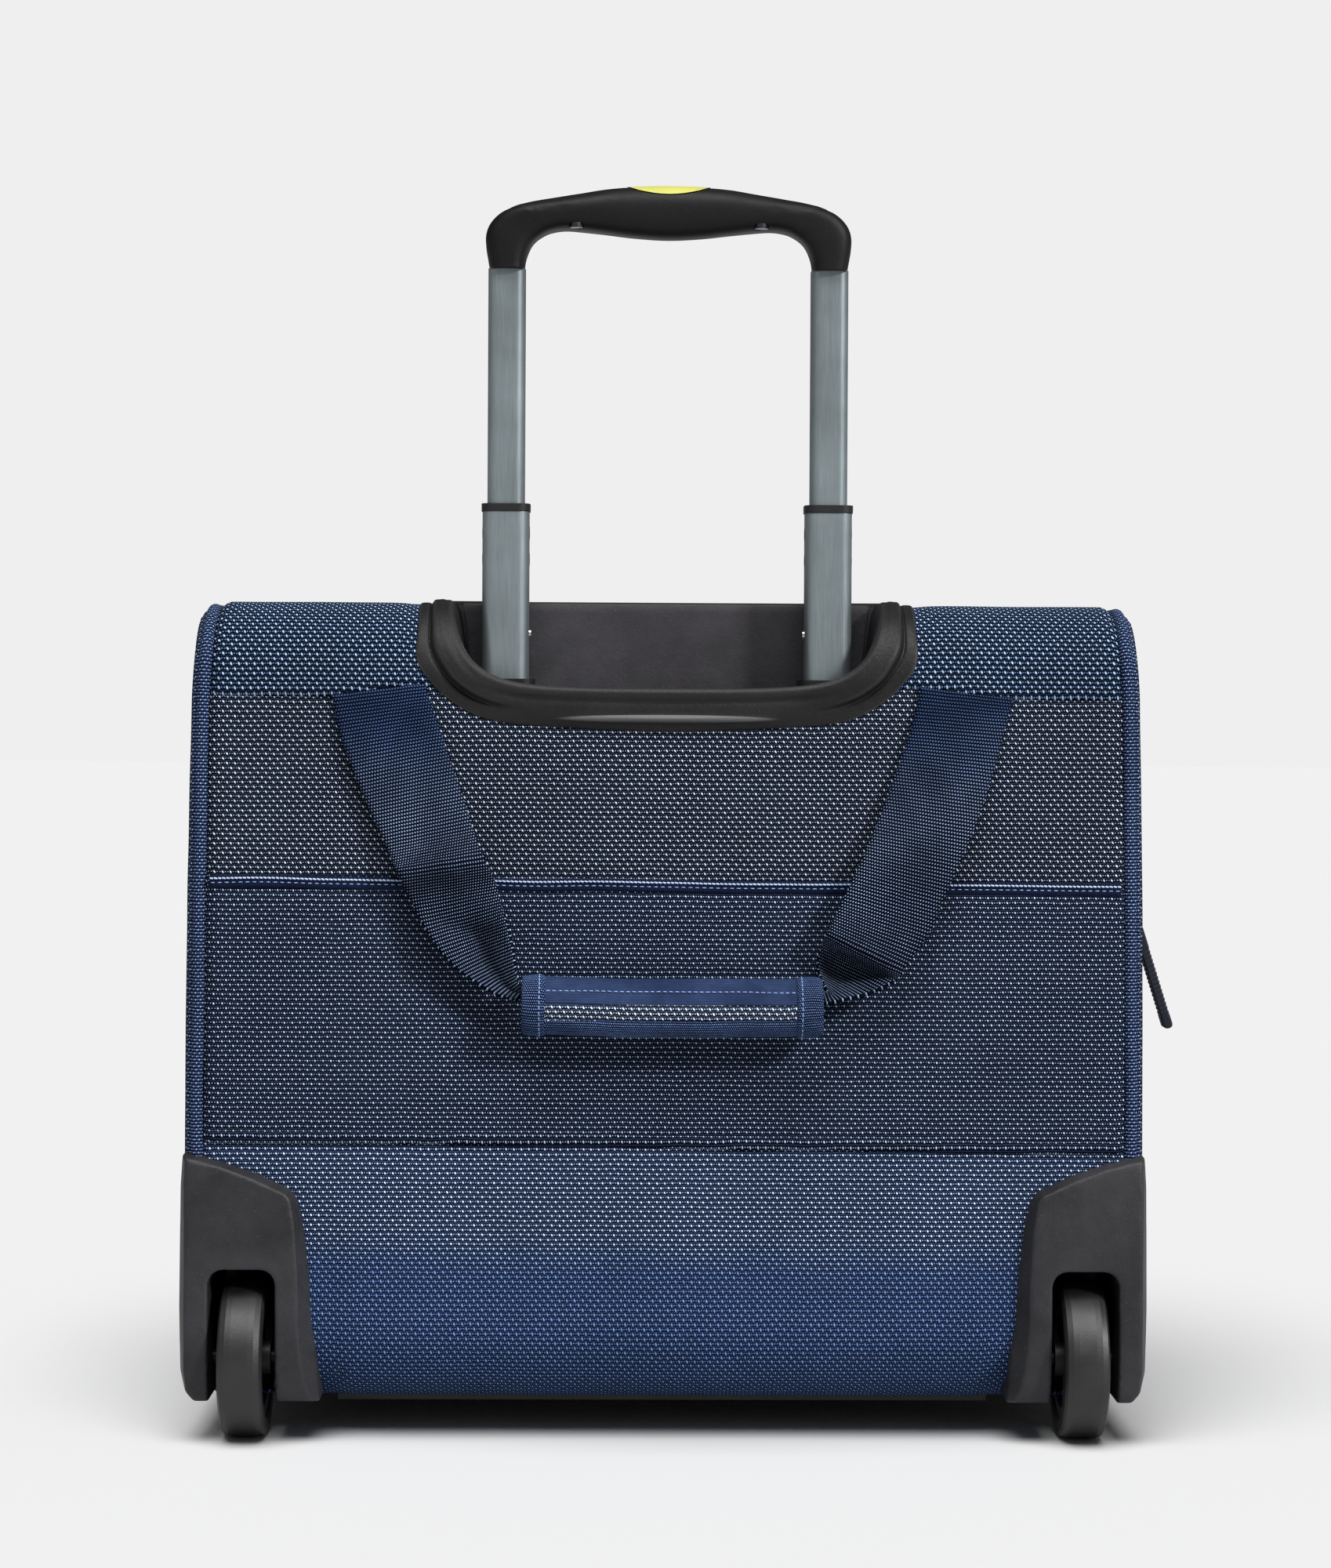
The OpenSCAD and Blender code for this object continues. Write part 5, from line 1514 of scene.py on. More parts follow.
RA = binding_ring("rear_wrap_end_left", WP, -64.6, -53.0, "rear_handle")
RB = binding_ring("rear_wrap_end_right", WP, 57.5, 70.1, "rear_handle")
m = Mesh()
for R, row in ((RA, 9), (RB, 2)):
    q = np.concatenate([R[row], R[row][:1]])
    c = q.mean(0)
    stitches(m, q, unit((q - c) * [0, 1, 1]), 2.6, (1.9, 0.28, 0.24), 0, lift=0.15, seed=43)
m.make("rear_wrap_end_stitching", ["thread"], "rear_handle")


# ======================================================================
# CAD nodes that stay: a finish for each
# ======================================================================
KEEP = {
    "plastic_cad": ["front_feet", "outer_bushes", "tube_foot_bracket", "lower_guides", "middle_guides", "lock_blocks", "base_chassis"],
    "board": ["back_board"],
    "tube": ["outer_tube_left", "outer_tube_right", "lower_tube_left", "lower_tube_right", "middle_tube_left", "middle_tube_right", "inner_tube_left", "inner_tube_right"],
    "axle": ["wheel_axles"],
    "steel": ["stop_pins", "push_rods", "button_spring", "release_yoke"],
    "zipmetal": ["grip_screws", "housing_screws", "pocket_slider", "laptop_zip_slider", "lid_zip_slider"],
    "hub": ["hub_left", "hub_right"],
    "tyre": ["tyre_left", "tyre_right"],
}
for mat_, names in KEEP.items():
    for n_ in names:
        o = NODES[n_]
        o.data.materials.clear()
        o.data.materials.append(MAT[mat_])
        o.data.polygons.foreach_set("material_index", [0] * len(o.data.polygons))
        o.data.polygons.foreach_set("use_smooth", [True] * len(o.data.polygons))
        o.data.set_sharp_from_angle(angle=math.radians(32))


# ======================================================================
# front, zips and inside
# ======================================================================
MAT["puller"] = material("puller_moulded", grained(srgb(10, 13, 26), srgb(17, 22, 38), 0.00006, 1500.0, (0.42, 0.55), wear_and_highlight=0.2), Specular_IOR_Level=0.3)
MAT["web_plain"] = material("webbing_plain", webbing(srgb(8, 14, 32), srgb(60, 82, 130), 1.6, 1.3), Specular_IOR_Level=0.15)


def rr_path(x, z0, z1, r, n_side=60, n_corner=12, r_low=None):
    """A rounded rectangle in X-Z, clockwise from the lower left, closed, with the outward normal."""
    rl = r if r_low is None else r_low
    pts, nr = [], []

    def run(a, b, nrm, n):
        for t in np.linspace(0, 1, n, endpoint=False):
            pts.append((a[0] + (b[0] - a[0]) * t, a[1] + (b[1] - a[1]) * t))
            nr.append(nrm)

    def turn(cx, cz, rad, a0, n):
        for t in np.linspace(0, 1, n, endpoint=False):
            a = math.radians(a0 - 90 * t)
            pts.append((cx + rad * math.cos(a), cz + rad * math.sin(a)))
            nr.append((math.cos(a), math.sin(a)))

    run((-x, z0 + rl), (-x, z1 - r), (-1, 0), n_side)
    turn(-x + r, z1 - r, r, 180, n_corner)
    run((-x + r, z1), (x - r, z1), (0, 1), n_side)
    turn(x - r, z1 - r, r, 90, n_corner)
    run((x, z1 - r), (x, z0 + rl), (1, 0), n_side)
    turn(x - rl, z0 + rl, rl, 0, n_corner)
    run((x - rl, z0), (-x + rl, z0), (0, -1), n_side)
    turn(-x + rl, z0 + rl, rl, 270, n_corner)
    return np.array(pts), np.array(nr)


def u_line(x, z0, z1, r, step=2.6):
    """Up the left side, over the top and down the right side."""
    a = [(-x, z) for z in np.arange(z0, z1 - r, step)]
    c = [(-x + r - r * math.cos(t), z1 - r + r * math.sin(t)) for t in np.linspace(0, PI / 2, 9)]
    b = [(t, z1) for t in np.arange(-x + r, x - r, step)[1:]]
    P = np.array(a + c + b)
    P = np.concatenate([P, (P * [-1, 1])[::-1]])
    keep = np.r_[True, np.linalg.norm(np.diff(P, axis=0), axis=1) > 0.2]
    P = P[keep]
    # the line below does nothing: the doubled middle where the two halves meet is not dropped
    i = np.argsort(P[:, 0], kind="stable") if False else None
    return P


def u_path(x, z0, z1, r, y, step=2.6):
    top = [(t, z1) for t in np.arange(-x + r, x - r, step)[1:]]
    a = [(-x, z) for z in np.arange(z0, z1 - r, step)]
    c = [(-x + r - r * math.cos(t), z1 - r + r * math.sin(t)) for t in np.linspace(0, PI / 2, 9)]
    P = np.array(a + c + top + [(-p, q) for p, q in c[::-1]] + [(-p, q) for p, q in a[::-1]])
    t = tangents(P)
    n = np.stack([-t[:, 1], t[:, 0]], 1)
    P = P.copy()
    P[:, 0] = spread(P[:, 0], P[:, 1])
    return np.stack([P[:, 0], np.full(len(P), y), P[:, 1]], 1), np.stack([n[:, 0], 0 * n[:, 0], n[:, 1]], 1)


def bars(mesh, C, axis, nrm, L, rx, ry, mi=0):
    """Short rounded bars at C, along axis."""
    axis, nrm = unit(np.broadcast_to(axis, C.shape)), unit(np.broadcast_to(nrm, C.shape))
    side = np.cross(axis, nrm)
    a = np.arange(5) / 5 * 2 * PI + 0.3
    ring = np.stack([np.cos(a) * rx, np.sin(a) * ry], 1)
    rows = [C[:, None] + axis[:, None] * L * f + (side[:, None] * ring[None, :, :1] + nrm[:, None] * ring[None, :, 1:]) * g for f, g in ((-1, 0.5), (-0.75, 1), (0.75, 1), (1, 0.5))]
    V = np.stack(rows, 1).reshape(-1, 3)
    base = mesh.n
    mesh.v.append(V)
    mesh.n += len(V)
    for i in range(len(C)):
        o = base + i * 20
        for r in range(3):
            for j in range(5):
                j2 = (j + 1) % 5
                mesh.q.append([o + r * 5 + j, o + r * 5 + j2, o + r * 5 + 5 + j2, o + r * 5 + 5 + j])
        mesh.q.append([o + j for j in range(4, -1, -1)])
        mesh.q.append([o + 15 + j for j in range(5)])
        mesh.w += [[[0, 0]] * 4] * 15 + [[[0, 0]] * 5] * 2
        mesh.m += [mi] * 17


TAPE = np.array([(-4.5, -0.5), (-4.6, -0.1), (-4.3, 0.25), (-3.2, 0.34), (-1.9, 0.36), (-1.3, 0.62), (0, 0.7), (1.3, 0.62), (1.9, 0.36), (3.2, 0.34), (4.3, 0.25), (4.6, -0.1), (4.5, -0.5)])


def zip_line(name, P, N, body, replaces, kind="both", pitch=1.55, lift=0.0):
    """A zip along P: woven tape, and a row or two rows of coil on it. kind says which edge carries the coil."""
    m = Mesh()
    ax = np.cross(tangents(P), unit(N))
    if kind == "both":
        sec = TAPE
    else:
        e = 1.0 if kind == "plus" else -1.0
        sec = np.array([(-4.4 * e, -0.5), (-4.5 * e, 0.0), (-4.2 * e, 0.3), (-2.0 * e, 0.34), (1.0 * e, 0.36), (2.4 * e, 0.42), (3.4 * e, 0.45), (4.3 * e, 0.4), (4.5 * e, -0.1), (4.4 * e, -0.5)])
    sec = np.broadcast_to(sec, (len(P), *sec.shape)).copy()
    sec[..., 1] += lift + 0.12 * wav(np.arange(len(P))[:, None] * 0.9, sec[..., 0], 3.5, 61)
    sweep(m, P, sec, N, 0)
    n = int(length(P) / pitch)
    C, Ne, Ae = even(P, n), unit(even(N, n)), unit(even(ax, n))
    if kind == "both":
        bars(m, C - Ae * 0.72 + Ne * (0.95 + lift), Ae, Ne, 0.95, 0.5, 0.42, 1)
        C2 = (C[1:] + C[:-1]) / 2
        bars(m, C2 + Ae[1:] * 0.72 + Ne[1:] * (0.95 + lift), Ae[1:], Ne[1:], 0.95, 0.5, 0.42, 1)
    else:
        bars(m, C + Ae * 3.75 * e + Ne * (0.8 + lift), Ae, Ne, 0.95, 0.52, 0.42, 1)
    # sewing line along the tape
    for off in ((-3.6, 3.6) if kind == "both" else (-3.2 * e,)):
        q = P + ax * off
        stitches(m, q, N, 3.1, (2.2, 0.26, 0.2), 2, lift=0.4 + lift, seed=62)
    return m.make(name, ["zip", "coil", "thread_dark"], body, replaces)


P, N = u_path(HX, 46.5, TOP, 6, 65.3)
case_zip = zip_line("case_zip", P, N, "case", ["case_zip_tapes"], kind="minus", lift=0.25)
P, N = u_path(HX, 46.5, TOP, 6, 75.1)
lid_zip = zip_line("lid_zip", P, N, "lid", ["zip_tape_lid"], kind="plus", lift=0.25)
P, N = u_path(HX, 190.5, TOP, 6, -44.0)
laptop_zip = zip_line("laptop_zip", P, N, "case", [], lift=0.3)


# ---- soft pieces with a closed, padded section ----
def corner_map(a, b, r, A, B):
    """Grid points of a rectangle, +-A by +-B, moved so that its corners are round."""
    a, b = np.broadcast_arrays(np.asarray(a, float), np.asarray(b, float))
    a, b = a.copy(), b.copy()
    u, v = (np.abs(a) - (A - r)) / r, (np.abs(b) - (B - r)) / r
    k = (u > 0) & (v > 0)
    uu, vv = u[k].copy(), v[k].copy()
    a[k] = np.sign(a[k]) * (A - r + r * uu * np.sqrt(1 - vv**2 / 2))
    b[k] = np.sign(b[k]) * (B - r + r * vv * np.sqrt(1 - uu**2 / 2))
    return a, b


def slab(name, x0, x1, z0, z1, y0, y1, r_low, r_top, mats, body, replaces, step=3.4, front=None, back=None, edge=3.0, spread_it=True, seed=0):
    """A padded panel lying in X-Z between y0 and y1: round edges, and both faces lifted by front and back (x, z)."""
    A, B = (x1 - x0) / 2, (z1 - z0) / 2
    cx, cz = (x0 + x1) / 2, (z0 + z1) / 2
    e = np.array([0, 0.35, 0.9, 1.7, 2.6])
    def axis(H):
        mid = np.linspace(-H + 3.6, H - 3.6, max(int(2 * H / step), 4))
        return np.r_[-H + e, mid, (H - e)[::-1]]
    a, b = axis(A), axis(B)
    Ag, Bg = np.meshgrid(a, b, indexing="ij")
    d = np.minimum(A - np.abs(Ag), B - np.abs(Bg))
    rr_ = np.where(Bg > 0, r_top, r_low)
    X1, Z1 = corner_map(Ag, Bg, r_low, A, B)
    X2, Z2 = corner_map(Ag, Bg, r_top, A, B)
    Xg = np.where(Bg > 0, X2, X1) + cx
    Zg = np.where(Bg > 0, Z2, Z1) + cz
    full = np.sqrt(np.clip(1 - (1 - np.clip(d / edge, 0, 1)) ** 2, 0, 1))
    yc, h = (y0 + y1) / 2, (y1 - y0) / 2
    rest_ = np.clip(d / (edge * 2.5), 0, 1)
    Yf = yc + h * full + (front(Xg, Zg) * rest_ if front else 0)
    Yb = yc - h * full - (back(Xg, Zg) * rest_ if back else 0)
    Xs = spread(Xg, Zg) if spread_it else Xg
    m = Mesh()
    W = np.stack([Xg, Zg], -1)
    m.grid(np.stack([Xs, Yf, Zg], -1), W, mi=0)
    m.grid(np.stack([Xs, Yb, Zg], -1), W, flip=True, mi=min(1, len(mats) - 1))
    ob = m.make(name, mats, None, replaces)
    import bmesh
    bm = bmesh.new()
    bm.from_mesh(ob.data)
    bmesh.ops.remove_doubles(bm, verts=bm.verts, dist=2e-6)
    bmesh.ops.recalc_face_normals(bm, faces=bm.faces)
    bm.to_mesh(ob.data)
    bm.free()
    if body:
        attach(ob, body)
    return ob


def lid_gusset():
    """The lid's padded wall: one loop of cloth round the edge, lined inside."""
    Q, Nn = rr_path(HX, 22, TOP, 9, 78, 10)
    sec = np.array([(97.6, -4.4), (90, -4.1), (80, -4.0), (71.6, -3.9), (70.75, -3.2), (70.6, -1.6), (70.9, -0.6), (71.8, -0.2), (75, -0.1), (78.6, 0.1), (80.2, 1.0), (83.5, 1.8), (88, 2.2),
                    (92.5, 2.0), (96, 1.0), (98.6, -0.6), (99.6, -2.2), (99.2, -3.6)])
    rows = []
    for i in range(len(Q)):
        s_ = sec.copy()
        out = s_[:, 1] > 0.05
        z = Q[i, 1]
        amp = np.where(out, 0.55 * wav(Q[i, 0] + z * 1.3, s_[:, 0], 34, 71) + 0.28 * wav(Q[i, 0] - z, s_[:, 0], 15, 72), 0)
        s_[:, 1] += amp
        x, zz = Q[i, 0] + Nn[i, 0] * s_[:, 1], z + Nn[i, 1] * s_[:, 1]
        rows.append(np.stack([spread(x, zz), s_[:, 0], zz], 1))
    P = np.stack(rows)
    along = np.r_[0, np.cumsum(np.linalg.norm(np.diff(np.concatenate([Q, Q[:1]]), axis=0), axis=1))]
    sc = np.concatenate([sec, sec[:1]])
    around = np.r_[0, np.cumsum(np.linalg.norm(np.diff(sc, axis=0), axis=1))]
    W = np.stack(np.broadcast_arrays(around[None], along[:, None]), -1)
    m = Mesh()
    k = len(sec)
    base = m.grid(P, W, cu=True, cv=True)
    # inner faces carry the lining
    for j in range(len(m.q)):
        c = j % k
        if c in (0, 1, 2):
            m.m[j] = 1
    ob = m.make("lid_gusset", ["weave", "lining"], None, ["lid_shell"], clean="normals")
    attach(ob, "lid")
    return ob


lid_gusset()

wr = lambda x, z, s: 0.8 * wav(x, z, 70, 81 + s) + 0.4 * wav(x, z, 26, 82 + s) + 0.16 * wav(x * 1.6, z, 9, 83 + s)
ob = slab("lid_lining", -210.6, 210.6, 23.8, 375.2, 74.4, 78.6, 6, 6, ["lining"], "lid", [], 3.6,
          front=lambda x, z: 0.5 * wr(x, z, 0), back=lambda x, z: 1.2 * wr(x, z, 3), spread_it=True)

TAB_X = ((-151.0, -109.6), (117.0, 158.0))


def yoke_front(x, z):
    puff = 2.0 * np.sin(PI * np.clip((z - 167) / 205, 0, 1)) ** 0.7 * np.sin(PI * np.clip((x + 206) / 412, 0, 1)) ** 0.5
    seam = -1.3 * np.exp(-((z - 352.0) / 2.2) ** 2)
    low = -0.8 * sstep(z, 182, 174)
    return puff + wr(x, z, 6) * 0.8 + seam + low


ob = slab("lid_front_cloth", -205.9, 205.9, 167.6, 371.8, 99.0, 102.9, 2, 12, ["weave", "lining"], "lid", ["lid_front_yoke"], 2.9, front=yoke_front, edge=3.4)


def pocket_front(x, z):
    puff = 2.6 * np.sin(PI * np.clip((z - 30) / 136, 0, 1)) ** 0.6 * np.sin(PI * np.clip((x + 205) / 410, 0, 1)) ** 0.4
    pull = 0.8 * wav(x * 0.4 + z, z * 0.5 - x * 0.2, 30, 91) * sstep(z, 150, 60)
    return puff + wr(x, z, 9) * 0.8 + pull


ob = slab("pocket_cloth", -205.3, 205.3, 30.0, 164.8, 99.0, 102.9, 7, 2, ["weave", "lining"], "pocket", ["pocket_panel"], 2.9, front=pocket_front, edge=3.2)

# low part of the lid below the pocket's hem, and the pocket's bound mouth
m = Mesh()
xs_ = np.arange(-204.6, 204.7, 2.9)
path = np.stack([spread(xs_, 165), 101.1 + 0.25 * wav(xs_, 0, 40, 92), 164.9 + 0.15 * wav(xs_, 5, 23, 93)], 1)
sweep(m, path, superellipse(2.1, 1.5, 18, 2.4), (0, 0, 1))
ob = m.make("pocket_binding", "binding", None, clean="normals")
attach(ob, "pocket")
ob = slab("lid_low_cloth", -204.5, 204.5, 22.4, 29.4, 98.4, 101.8, 2.5, 2, ["weave"], "lid", [], 3.4, edge=2.0)

# zip of the pocket, on the lid above its mouth
xs_ = np.arange(-188, 188.1, 2.6)
P = np.stack([xs_, 103.4 + np.interp(np.abs(xs_), [0, 120, 188], [0.9, 0.6, 0.1]), np.full(len(xs_), 172.6)], 1)
N = np.tile([0.0, 1.0, 0.0], (len(P), 1))
pocket_zip = zip_line("pocket_zip_chain", P, N, "lid", ["pocket_zip"], lift=0.15)
m = Mesh()
for sx in (-1, 1):
    path = np.array([[sx * 189.6, 103.9, 166.6], [sx * 189.6, 104.1, 170], [sx * 189.6, 104.1, 176], [sx * 189.6, 103.9, 179.4]])
    sweep(m, path, superellipse(4.2, 1.0, 18, 3.2), (0, 1, 0))
    stitches(m, np.array([[sx * 187.2, 105.0, 167.6], [sx * 187.2, 105.0, 178.4]]), (0, 1, 0), 1.6, (1.3, 0.26, 0.24), 1, lift=0.1, seed=63)
m.make("pocket_zip_ends", ["binding", "thread"], "lid", clean="normals")

# piping round the lid
m = Mesh()
P, N = u_path(209.2, 25.2, 375.1, 9, 100.1, 2.4)
r = 2.85 * (1 + 0.03 * wav(np.arange(len(P)), 0, 3, 94))
sweep(m, P + N * (0.2 * wav(np.arange(len(P)), 3, 16, 95))[:, None], circle(1.0, 14)[None] * r[:, None, None], N)
ob = m.make("lid_piping_cord", ["piping", "thread_dark"], None, ["lid_piping"], clean="normals")
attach(ob, "lid")
# sewing line beside the piping
m = Mesh()
q = P - N * 5.2
q[:, 1] = 102.2
keep = (q[:, 2] > 182)
stitches(m, q[keep], (0, 1, 0), 3.0, (2.1, 0.28, 0.26), 0, lift=0.35, seed=64)
m.make("lid_front_stitching", ["thread_dark"], "lid")

# ---- front handle: sewn tabs, straps and pad ----
for i, (xa, xb) in enumerate(TAB_X):
    zs_ = np.linspace(366.5, 338.6, 22)
    t = (366.5 - zs_) / 27.9
    ysurf = 105.2 + 0.2 * wav(xa, zs_, 12, 96) + 3.2 * sstep(t, 0.35, 1.0)
    G = np.stack([np.broadcast_to(np.linspace(xa, xb, 15)[None], (22, 15)) + (np.interp(t, [0, 1], [2.0 * (1 if i == 0 else -1), 0]))[:, None],
                  np.broadcast_to(ysurf[:, None], (22, 15)) + 0.25 * np.cos(np.linspace(-1.4, 1.4, 15))[None], np.broadcast_to(zs_[:, None], (22, 15))], -1)
    m = Mesh()
    W = np.stack(np.broadcast_arrays(np.linspace(0, 41, 15)[None], (zs_[0] - zs_)[:, None]), -1)
    m.grid(G, W, flip=False)
    ob = m.make("front_tab_" + ("left" if i == 0 else "right"), "web", None)
    thicken(ob, 1.7, 0.0)
    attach(ob, "lid")
    box_ = [(xa + 4.5, 362.5), (xb - 4.5, 362.5), (xb - 4.5, 351.5), (xa + 4.5, 351.5), (xa + 4.5, 362.5), (xb - 4.5, 351.5), (xb - 4.5, 362.5), (xa + 4.5, 351.5)]
    m = Mesh()
    for p, q_ in zip(box_[:-1], box_[1:]):
        yy = lambda z: 105.2 + 3.2 * float(sstep((366.5 - z) / 27.9, 0.35, 1.0)) + 1.1
        seg = np.array([[p[0] + (q_[0] - p[0]) * f, yy(p[1] + (q_[1] - p[1]) * f), p[1] + (q_[1] - p[1]) * f] for f in np.linspace(0, 1, 8)])
        stitches(m, seg, (0, 1, 0), 2.6, (1.9, 0.3, 0.26), 0, lift=0.15, seed=65 + i)
    m.make("front_tab_stitching_" + ("left" if i == 0 else "right"), ["thread"], "lid")


def to_front(P, k=0.667, gain=1.0):
    """The rear strap's net, turned over to the lid, hanging closer to it."""
    Q = P.copy()
    Q[..., 1] = 109.0 + (-P[..., 1] - 101.0) * k + 0.4
    return Q


def keep_below(P, z=338.6):
    """Trim the net's top to the fold line."""
    Q = P.copy()
    zt = Q[:, :, 2]
    k = np.clip((zt - z), 0, None)
    Q[:, :, 2] = zt - k
    return Q


FL = keep_below(to_front(strap_net(STRAP_L, [tuple(v * 0.4 for v in d) for d in DY_L], 84, 15, 3)))
FR = keep_below(to_front(strap_net(STRAP_R, [tuple(v * 0.4 for v in d) for d in DY_R], 90, 15, 4)))
for nm, G in (("left", FL), ("right", FR)):
    n0 = np.cross(G[20, 0] - G[10, 0], G[10, 10] - G[10, 0])
    G = G if n0[1] > 0 else G[:, ::-1]
    ob = strap("front_strap_" + nm, G, "front_handle", 1.8)
    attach(ob, "front_handle")
    if nm == "left":
        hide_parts("front_handle_webbing")


def wrap_front():
    S = WS.copy()
    c = S.mean(0)
    S = (S - c) * [0.84, 0.98] + c
    S[:, 0] = -S[:, 0]
    S[:, 0] += 118.6 - S[:, 0].mean()
    S = S[::-1]
    c = S.mean(0)
    xs_ = np.r_[-66.5, -65.5, -63.0, -59.5, np.linspace(-56, 62, 56), 65.5, 69.5, 72.6, 74.0]
    rows = []
    for x in xs_:
        t = (x + 66.5) / 140.5
        e = min(x + 66.5, 74.0 - x)
        k = 0.90 + 0.10 * math.sqrt(min(e / 5.0, 1.0))
        q = (S - c) * k + c
        yy = q[:, 0] + 0.22 * wav(x, q[:, 1], 11, 34) + 0.3 * wav(x, 0, 37, 35)
        zz = q[:, 1] - 1.1 * math.sin(PI * t) + 0.25 * wav(x, q[:, 0], 17, 36)
        rows.append(np.stack([np.full(len(S), x), yy, zz], 1))
    P = np.stack(rows)
    al = np.concatenate([S, S[:1]])
    v = np.r_[0, np.cumsum(np.linalg.norm(np.diff(al, axis=0), axis=1))]
    W = np.stack(np.broadcast_arrays(np.r_[xs_, xs_[-1]][:, None], v[None, :]), -1)[: len(xs_)]
    m = Mesh()
    n = len(S)
    b = m.grid(P, np.concatenate([W, W[-1:]]), cv=True)
    m.face([b + j for j in range(n)])
    m.face([b + (len(xs_) - 1) * n + j for j in range(n)][::-1])
    ob = m.make("front_pad", ["weave_bright"], None, ["front_handle_pad"], clean="normals")
    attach(ob, "front_handle")
    return P, S


FP, FS = wrap_front()
FA = binding_ring("front_pad_end_left", FP, -66.6, -56.5, "front_handle")
FB = binding_ring("front_pad_end_right", FP, 63.5, 74.1, "front_handle")
m = Mesh()
k = int(np.argmin((FS[:, 0] - 125) ** 2 + (FS[:, 1] - 200) ** 2))
stitches(m, wrap_row(FP, k, -56, 62) + [0, 0.1, 0], (0, 1, 0.2), 2.7, (2.0, 0.3, 0.26), 0, lift=0.2, seed=44)
m.make("front_pad_stitching", ["thread"], "front_handle")


# ---- pullers: the moulded tabs, rounded and ribbed ----
def soft_copy(node_name, name, voxel, smooth, mat, body, disp=None, factor=0.5):
    """A CAD solid's own shape with its edges melted; disp moves vertices (n, 3) in mm."""
    src = NODES[node_name]
    me = src.data.copy()
    me.transform(src.matrix_world)
    me.materials.clear()
    me.materials.append(MAT[mat])
    ob = bpy.data.objects.new(name, me)
    bpy.context.scene.collection.objects.link(ob)
    remeshed(ob, voxel, smooth, factor)
    n = len(ob.data.vertices)
    co = np.empty(n * 3, np.float32)
    no = np.empty(n * 3, np.float32)
    ob.data.vertices.foreach_get("co", co)
    ob.data.vertices.foreach_get("normal", no)
    co, no = co.reshape(-1, 3) / MM, no.reshape(-1, 3)
    if disp is not None:
        co = disp(co.astype(float), no.astype(float))
        ob.data.vertices.foreach_set("co", (co * MM).astype(np.float32).ravel())
    ob.data.polygons.foreach_set("use_smooth", [True] * len(ob.data.polygons))
    ob.data.polygons.foreach_set("material_index", [0] * len(ob.data.polygons))
    ob.data.materials.clear()
    ob.data.materials.append(MAT[mat])
    ob.data.update()
    finish_piece(ob, body, [node_name])
    return ob


def ribs(pin, direction, start, end, amp=0.16, pitch=2.1):
    pin, dr = np.array(pin), np.array(direction) / np.linalg.norm(direction)
    def disp(co, no):
        d = (co - pin) @ dr
        k = sstep(d, start, start + 2) * sstep(d, end, end - 2)
        return co + no * (amp * (np.cos(d * 2 * PI / pitch) - 1) * k)[:, None]
    return disp


lean_ = math.radians(17.5)
soft_copy("laptop_zip_puller", "laptop_puller_tab", 0.45, 3, "puller", "laptop_puller", ribs((219.3, -44, 237.7), (math.sin(lean_), 0, -math.cos(lean_)), 16, 50))
soft_copy("lid_zip_puller", "lid_puller_tab", 0.45, 3, "puller", "lid_puller", ribs((-219.3, 70.25, 75), (-math.sin(lean_), 0, -math.cos(lean_)), 16, 50))
soft_copy("pocket_puller", "pocket_puller_tab", 0.35, 3, "puller", "pocket_zip_puller", ribs((176, 108.2, 172.5), (-1, 0, 0), 12, 32, 0.1))

# a short cover where the laptop zip ends, on the right side
m = Mesh()
zs_ = np.linspace(262.5, 205, 30)
t = (262.5 - zs_) / 57.5
off = 1.6 + 0.5 * np.sin(PI * np.clip(t, 0, 1)) - 1.0 * np.exp(-t * 30)
ya = np.linspace(-8.6, 8.6, 11)
G = np.stack([np.broadcast_to((HX + wide(zs_) + off)[:, None], (30, 11)) - 1.3 * (np.abs(ya) / 8.6)[None] ** 4 * (off > 0)[:, None], np.broadcast_to((-44 + ya)[None], (30, 11)), np.broadcast_to(zs_[:, None], (30, 11))], -1)
keep_rows = zs_ > 246.5
m.grid(G[keep_rows], np.stack(np.broadcast_arrays(ya[None], (262.5 - zs_)[:, None]), -1)[keep_rows], flip=False)
ob = m.make("zip_garage", "weave", None)
thicken(ob, 1.2, 0.0)
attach(ob, "case")


# ---- inside ----
def wrinkled(amp, seed, keep=None):
    def disp(co, no):
        w = amp * (0.8 * wav(co[:, 0], co[:, 2], 55, seed) + 0.45 * wav(co[:, 0] * 1.2, co[:, 2], 21, seed + 1) + 0.2 * wav(co[:, 0], co[:, 2] * 1.4, 8, seed + 2))
        return co + np.stack([np.zeros(len(co)), w, np.zeros(len(co))], 1)
    return disp


ob = soft_copy("inner_back_wall", "inner_lining_wall", 2.0, 2, "lining", "case", wrinkled(0.9, 101))
ob = soft_copy("laptop_sleeve", "laptop_sleeve_soft", 1.9, 2, "lining", "case", wrinkled(0.8, 105))
m = Mesh()
for yy_, zz_ in ((-10.0, 290.4),):
    xs_ = np.arange(-192, 192.1, 3)
    path = np.stack([xs_, np.full(len(xs_), -12.0) + 0.8 * wav(xs_, 0, 55, 105), 290.2 + 0.3 * wav(xs_, 3, 30, 107)], 1)
    sweep(m, path, superellipse(2.9, 1.6, 16, 2.4), (0, 0, 1))
m.make("laptop_sleeve_binding", ["binding"], "case", clean="normals")

ob = soft_copy("lid_hinge_strip", "hinge_strip", 0.7, 2, "web_plain", "case", None)

